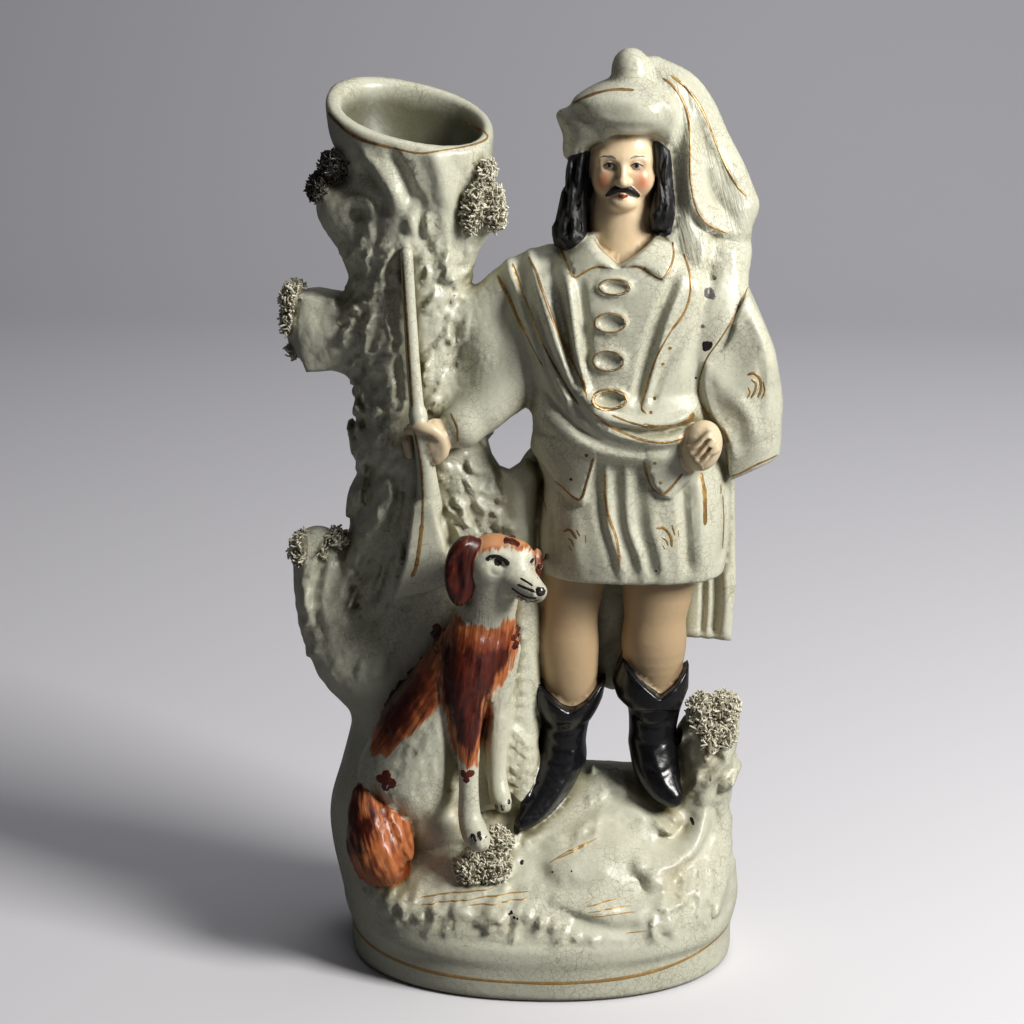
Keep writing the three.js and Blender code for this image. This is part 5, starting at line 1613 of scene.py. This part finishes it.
# %% Moss threads
beds = bpy.data.meshes.new("moss_threads")
depth_of_moss = np.min([depths[other] for other in depths if other != "moss"], axis=0) - depths["moss"]
mossy = np.all(depth_of_moss[corners] > 0.15, axis=1)
used = np.unique(corners[mossy])
renumber = np.full(len(spots), -1)
renumber[used] = np.arange(len(used))
beds.from_pydata((spots[used] * 0.001).tolist(), [], renumber[corners[mossy]].tolist())
darker = beds.attributes.new("dark", "FLOAT", "POINT")
darker.data.foreach_set("value", (soft_step(-70, -78, spots[used, 0]) * soft_step(300, 312, spots[used, 2])).astype(np.float32))
moss = bpy.data.objects.new("moss_threads", beds)
bpy.context.scene.collection.objects.link(moss)

green, tree, shader = new_material("moss")
place = node(tree, "ShaderNodeTexCoord", out="Object")
tone = mix(tree, ramp(tree, cloud(tree, place, 330.0), 0.38, 0.62), (0.84, 0.81, 0.66, 1), (0.66, 0.62, 0.47, 1))
# Painted shade: each thread darkens towards its root.
tone = mix(tree, ramp(tree, attribute(tree, "tip"), 0.15, 0.75, 1.0, 0.0), tone, (0.22, 0.195, 0.13, 1))
tone = mix(tree, ramp(tree, attribute(tree, "dark"), 0.1, 0.9, 0.0, 0.93), tone, (0.012, 0.010, 0.010, 1))
tree.links.new(tone, shader.inputs["Base Color"])
shader.inputs["Roughness"].default_value = 0.32

threads = group("threads", [("Geometry", "Geometry", None), ("Per square metre", "Float", 900000.0), ("Length", "Float", 0.0021),
                            ("Thickness", "Float", 0.00036), ("Seed", "Int", 7), ("Material", "Material", None)],
                ("Geometry", "Geometry"), "GeometryNodeTree")
spread = node(threads, "GeometryNodeDistributePointsOnFaces", {"Mesh": given(threads, "Geometry"), "Density": given(threads, "Per square metre"),
                                                               "Seed": given(threads, "Seed")}, "Points")
outward = spread.node.outputs["Normal"]
lean = node(threads, "FunctionNodeRandomValue", {"Min": (-3.0, -3.0, -3.0), "Max": (3.0, 3.0, 3.0), "Seed": given(threads, "Seed")}, data_type="FLOAT_VECTOR")
aim = node(threads, "ShaderNodeVectorMath", {0: outward, 1: lean}, operation="ADD")
turn = node(threads, "FunctionNodeAlignRotationToVector", {"Vector": aim}, axis="Z")
roll = node(threads, "FunctionNodeRandomValue", {"Max_001": 6.283, "Seed": given(threads, "Seed")}, "Value_001", data_type="FLOAT")
spin = node(threads, "ShaderNodeCombineXYZ", {"Z": roll})
turn = node(threads, "FunctionNodeRotateRotation", {"Rotation": turn, "Rotate By": spin}, rotation_space="LOCAL")
half = node(threads, "ShaderNodeMath", {0: given(threads, "Length"), 1: 0.5}, operation="MULTIPLY")
root = node(threads, "ShaderNodeCombineXYZ", {"Z": node(threads, "ShaderNodeMath", {0: half, 1: -0.8}, operation="MULTIPLY")})
bow = node(threads, "ShaderNodeCombineXYZ", {"X": given(threads, "Length"), "Z": half})
tip = node(threads, "ShaderNodeCombineXYZ", {"X": node(threads, "ShaderNodeMath", {0: half, 1: -0.5}, operation="MULTIPLY"), "Z": given(threads, "Length")})
path = node(threads, "GeometryNodeCurveQuadraticBezier", {"Resolution": 3, "Start": root, "Middle": bow, "End": tip})
path = node(threads, "GeometryNodeStoreNamedAttribute", {"Geometry": path, "Name": "tip",
                                                        "Value": node(threads, "GeometryNodeSplineParameter", out="Factor")})
ring = node(threads, "GeometryNodeCurvePrimitiveCircle", {"Resolution": 5, "Radius": given(threads, "Thickness")})
thread = node(threads, "GeometryNodeCurveToMesh", {"Curve": path, "Profile Curve": ring, "Fill Caps": True})
thread = node(threads, "GeometryNodeSetShadeSmooth", {"Geometry": thread})
size = node(threads, "FunctionNodeRandomValue", {"Min_001": 0.7, "Max_001": 1.25, "Seed": given(threads, "Seed")}, "Value_001", data_type="FLOAT")
placed = node(threads, "GeometryNodeInstanceOnPoints", {"Points": spread, "Instance": thread, "Rotation": turn, "Scale": size})
real = node(threads, "GeometryNodeRealizeInstances", {"Geometry": placed})
gives(threads, node(threads, "GeometryNodeSetMaterial", {"Geometry": real, "Material": given(threads, "Material")}))

grow = moss.modifiers.new("threads", "NODES")
grow.node_group = threads
wanted = {"Material": green}
for entry in threads.interface.items_tree:
    if entry.in_out == "INPUT" and entry.name in wanted:
        grow[entry.identifier] = wanted[entry.name]
bpy.context.view_layer.update()
grown = bpy.data.meshes.new_from_object(moss.evaluated_get(bpy.context.evaluated_depsgraph_get()))
moss.modifiers.clear()
moss.data = grown
grown.name = "moss_threads"
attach(moss, "root")
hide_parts("spill_vase")
print("moss threads:", len(grown.polygons), "faces", sum(len(p.vertices) - 2 for p in grown.polygons), "triangles")

# %% [markdown]
# ## Studio
# A pale sweep of paper, one soft box high on the right, and the room's own dim light.

# %% Floor, lights and camera
floor_mesh = bpy.data.meshes.new("floor")
profile = [(-6.0, 0.0), (1.6, 0.0)] + [
    (1.6 + 1.2 * math.sin(a), 1.2 - 1.2 * math.cos(a)) for a in np.linspace(0.1, math.pi / 2, 14)
] + [(2.8, 5.0)]
floor_points = [(sx, py, pz) for py, pz in profile for sx in (-5.0, 5.0)]
floor_faces = [(2 * i, 2 * i + 1, 2 * i + 3, 2 * i + 2) for i in range(len(profile) - 1)]
floor_mesh.from_pydata(floor_points, [], floor_faces)
floor_mesh.shade_smooth()
floor = bpy.data.objects.new("floor", floor_mesh)
bpy.context.scene.collection.objects.link(floor)
paper, tree, shader = new_material("paper")
seen = node(tree, "ShaderNodeLightPath", out="Is Camera Ray")
tree.links.new(mix(tree, seen, (0.20, 0.20, 0.21, 1), (0.80, 0.79, 0.82, 1)), shader.inputs["Base Color"])
shader.inputs["Roughness"].default_value = 0.95
shader.inputs["Specular IOR Level"].default_value = 0.1
floor_mesh.materials.append(paper)


def softbox(name, place, aim, size, watts, colour):
    """An area light that looks at a point."""
    light = bpy.data.lights.new(name, "AREA")
    light.shape = "RECTANGLE"
    light.size, light.size_y = size
    light.energy = watts
    light.color = colour
    box = bpy.data.objects.new(name, light)
    box.location = place
    box.rotation_euler = (Vector(aim) - Vector(place)).to_track_quat("-Z", "Y").to_euler()
    bpy.context.scene.collection.objects.link(box)


softbox("key", (1.05, -0.56, 0.92), (0, 0, 0.20), (0.45, 0.55), 26, (1.0, 0.985, 0.95))
softbox("top", (0.25, 0.25, 2.1), (0.1, 0.1, 0), (1.6, 1.6), 8.5, (0.97, 0.97, 1.0))
softbox("back wall", (0.6, 0.9, 1.6), (0.2, 2.6, 0.6), (1.0, 1.0), 8.4, (0.95, 0.95, 1.0))
world = bpy.data.worlds.new("room")
bpy.context.scene.world = world
world.use_nodes = True
world.node_tree.nodes["Background"].inputs["Color"].default_value = (0.80, 0.80, 0.86, 1)
world.node_tree.nodes["Background"].inputs["Strength"].default_value = 0.034

camera_data = bpy.data.cameras.new("camera")
camera_data.lens = 87.73
camera_data.sensor_width = 36
camera = bpy.data.objects.new("camera", camera_data)
camera.location = (0.052336, -0.99863, 0.440)
camera.rotation_euler = (math.radians(90 - 13.989), 0, math.radians(3.717))
bpy.context.scene.collection.objects.link(camera)
bpy.context.scene.camera = camera
bpy.context.scene.view_settings.view_transform = "Standard"
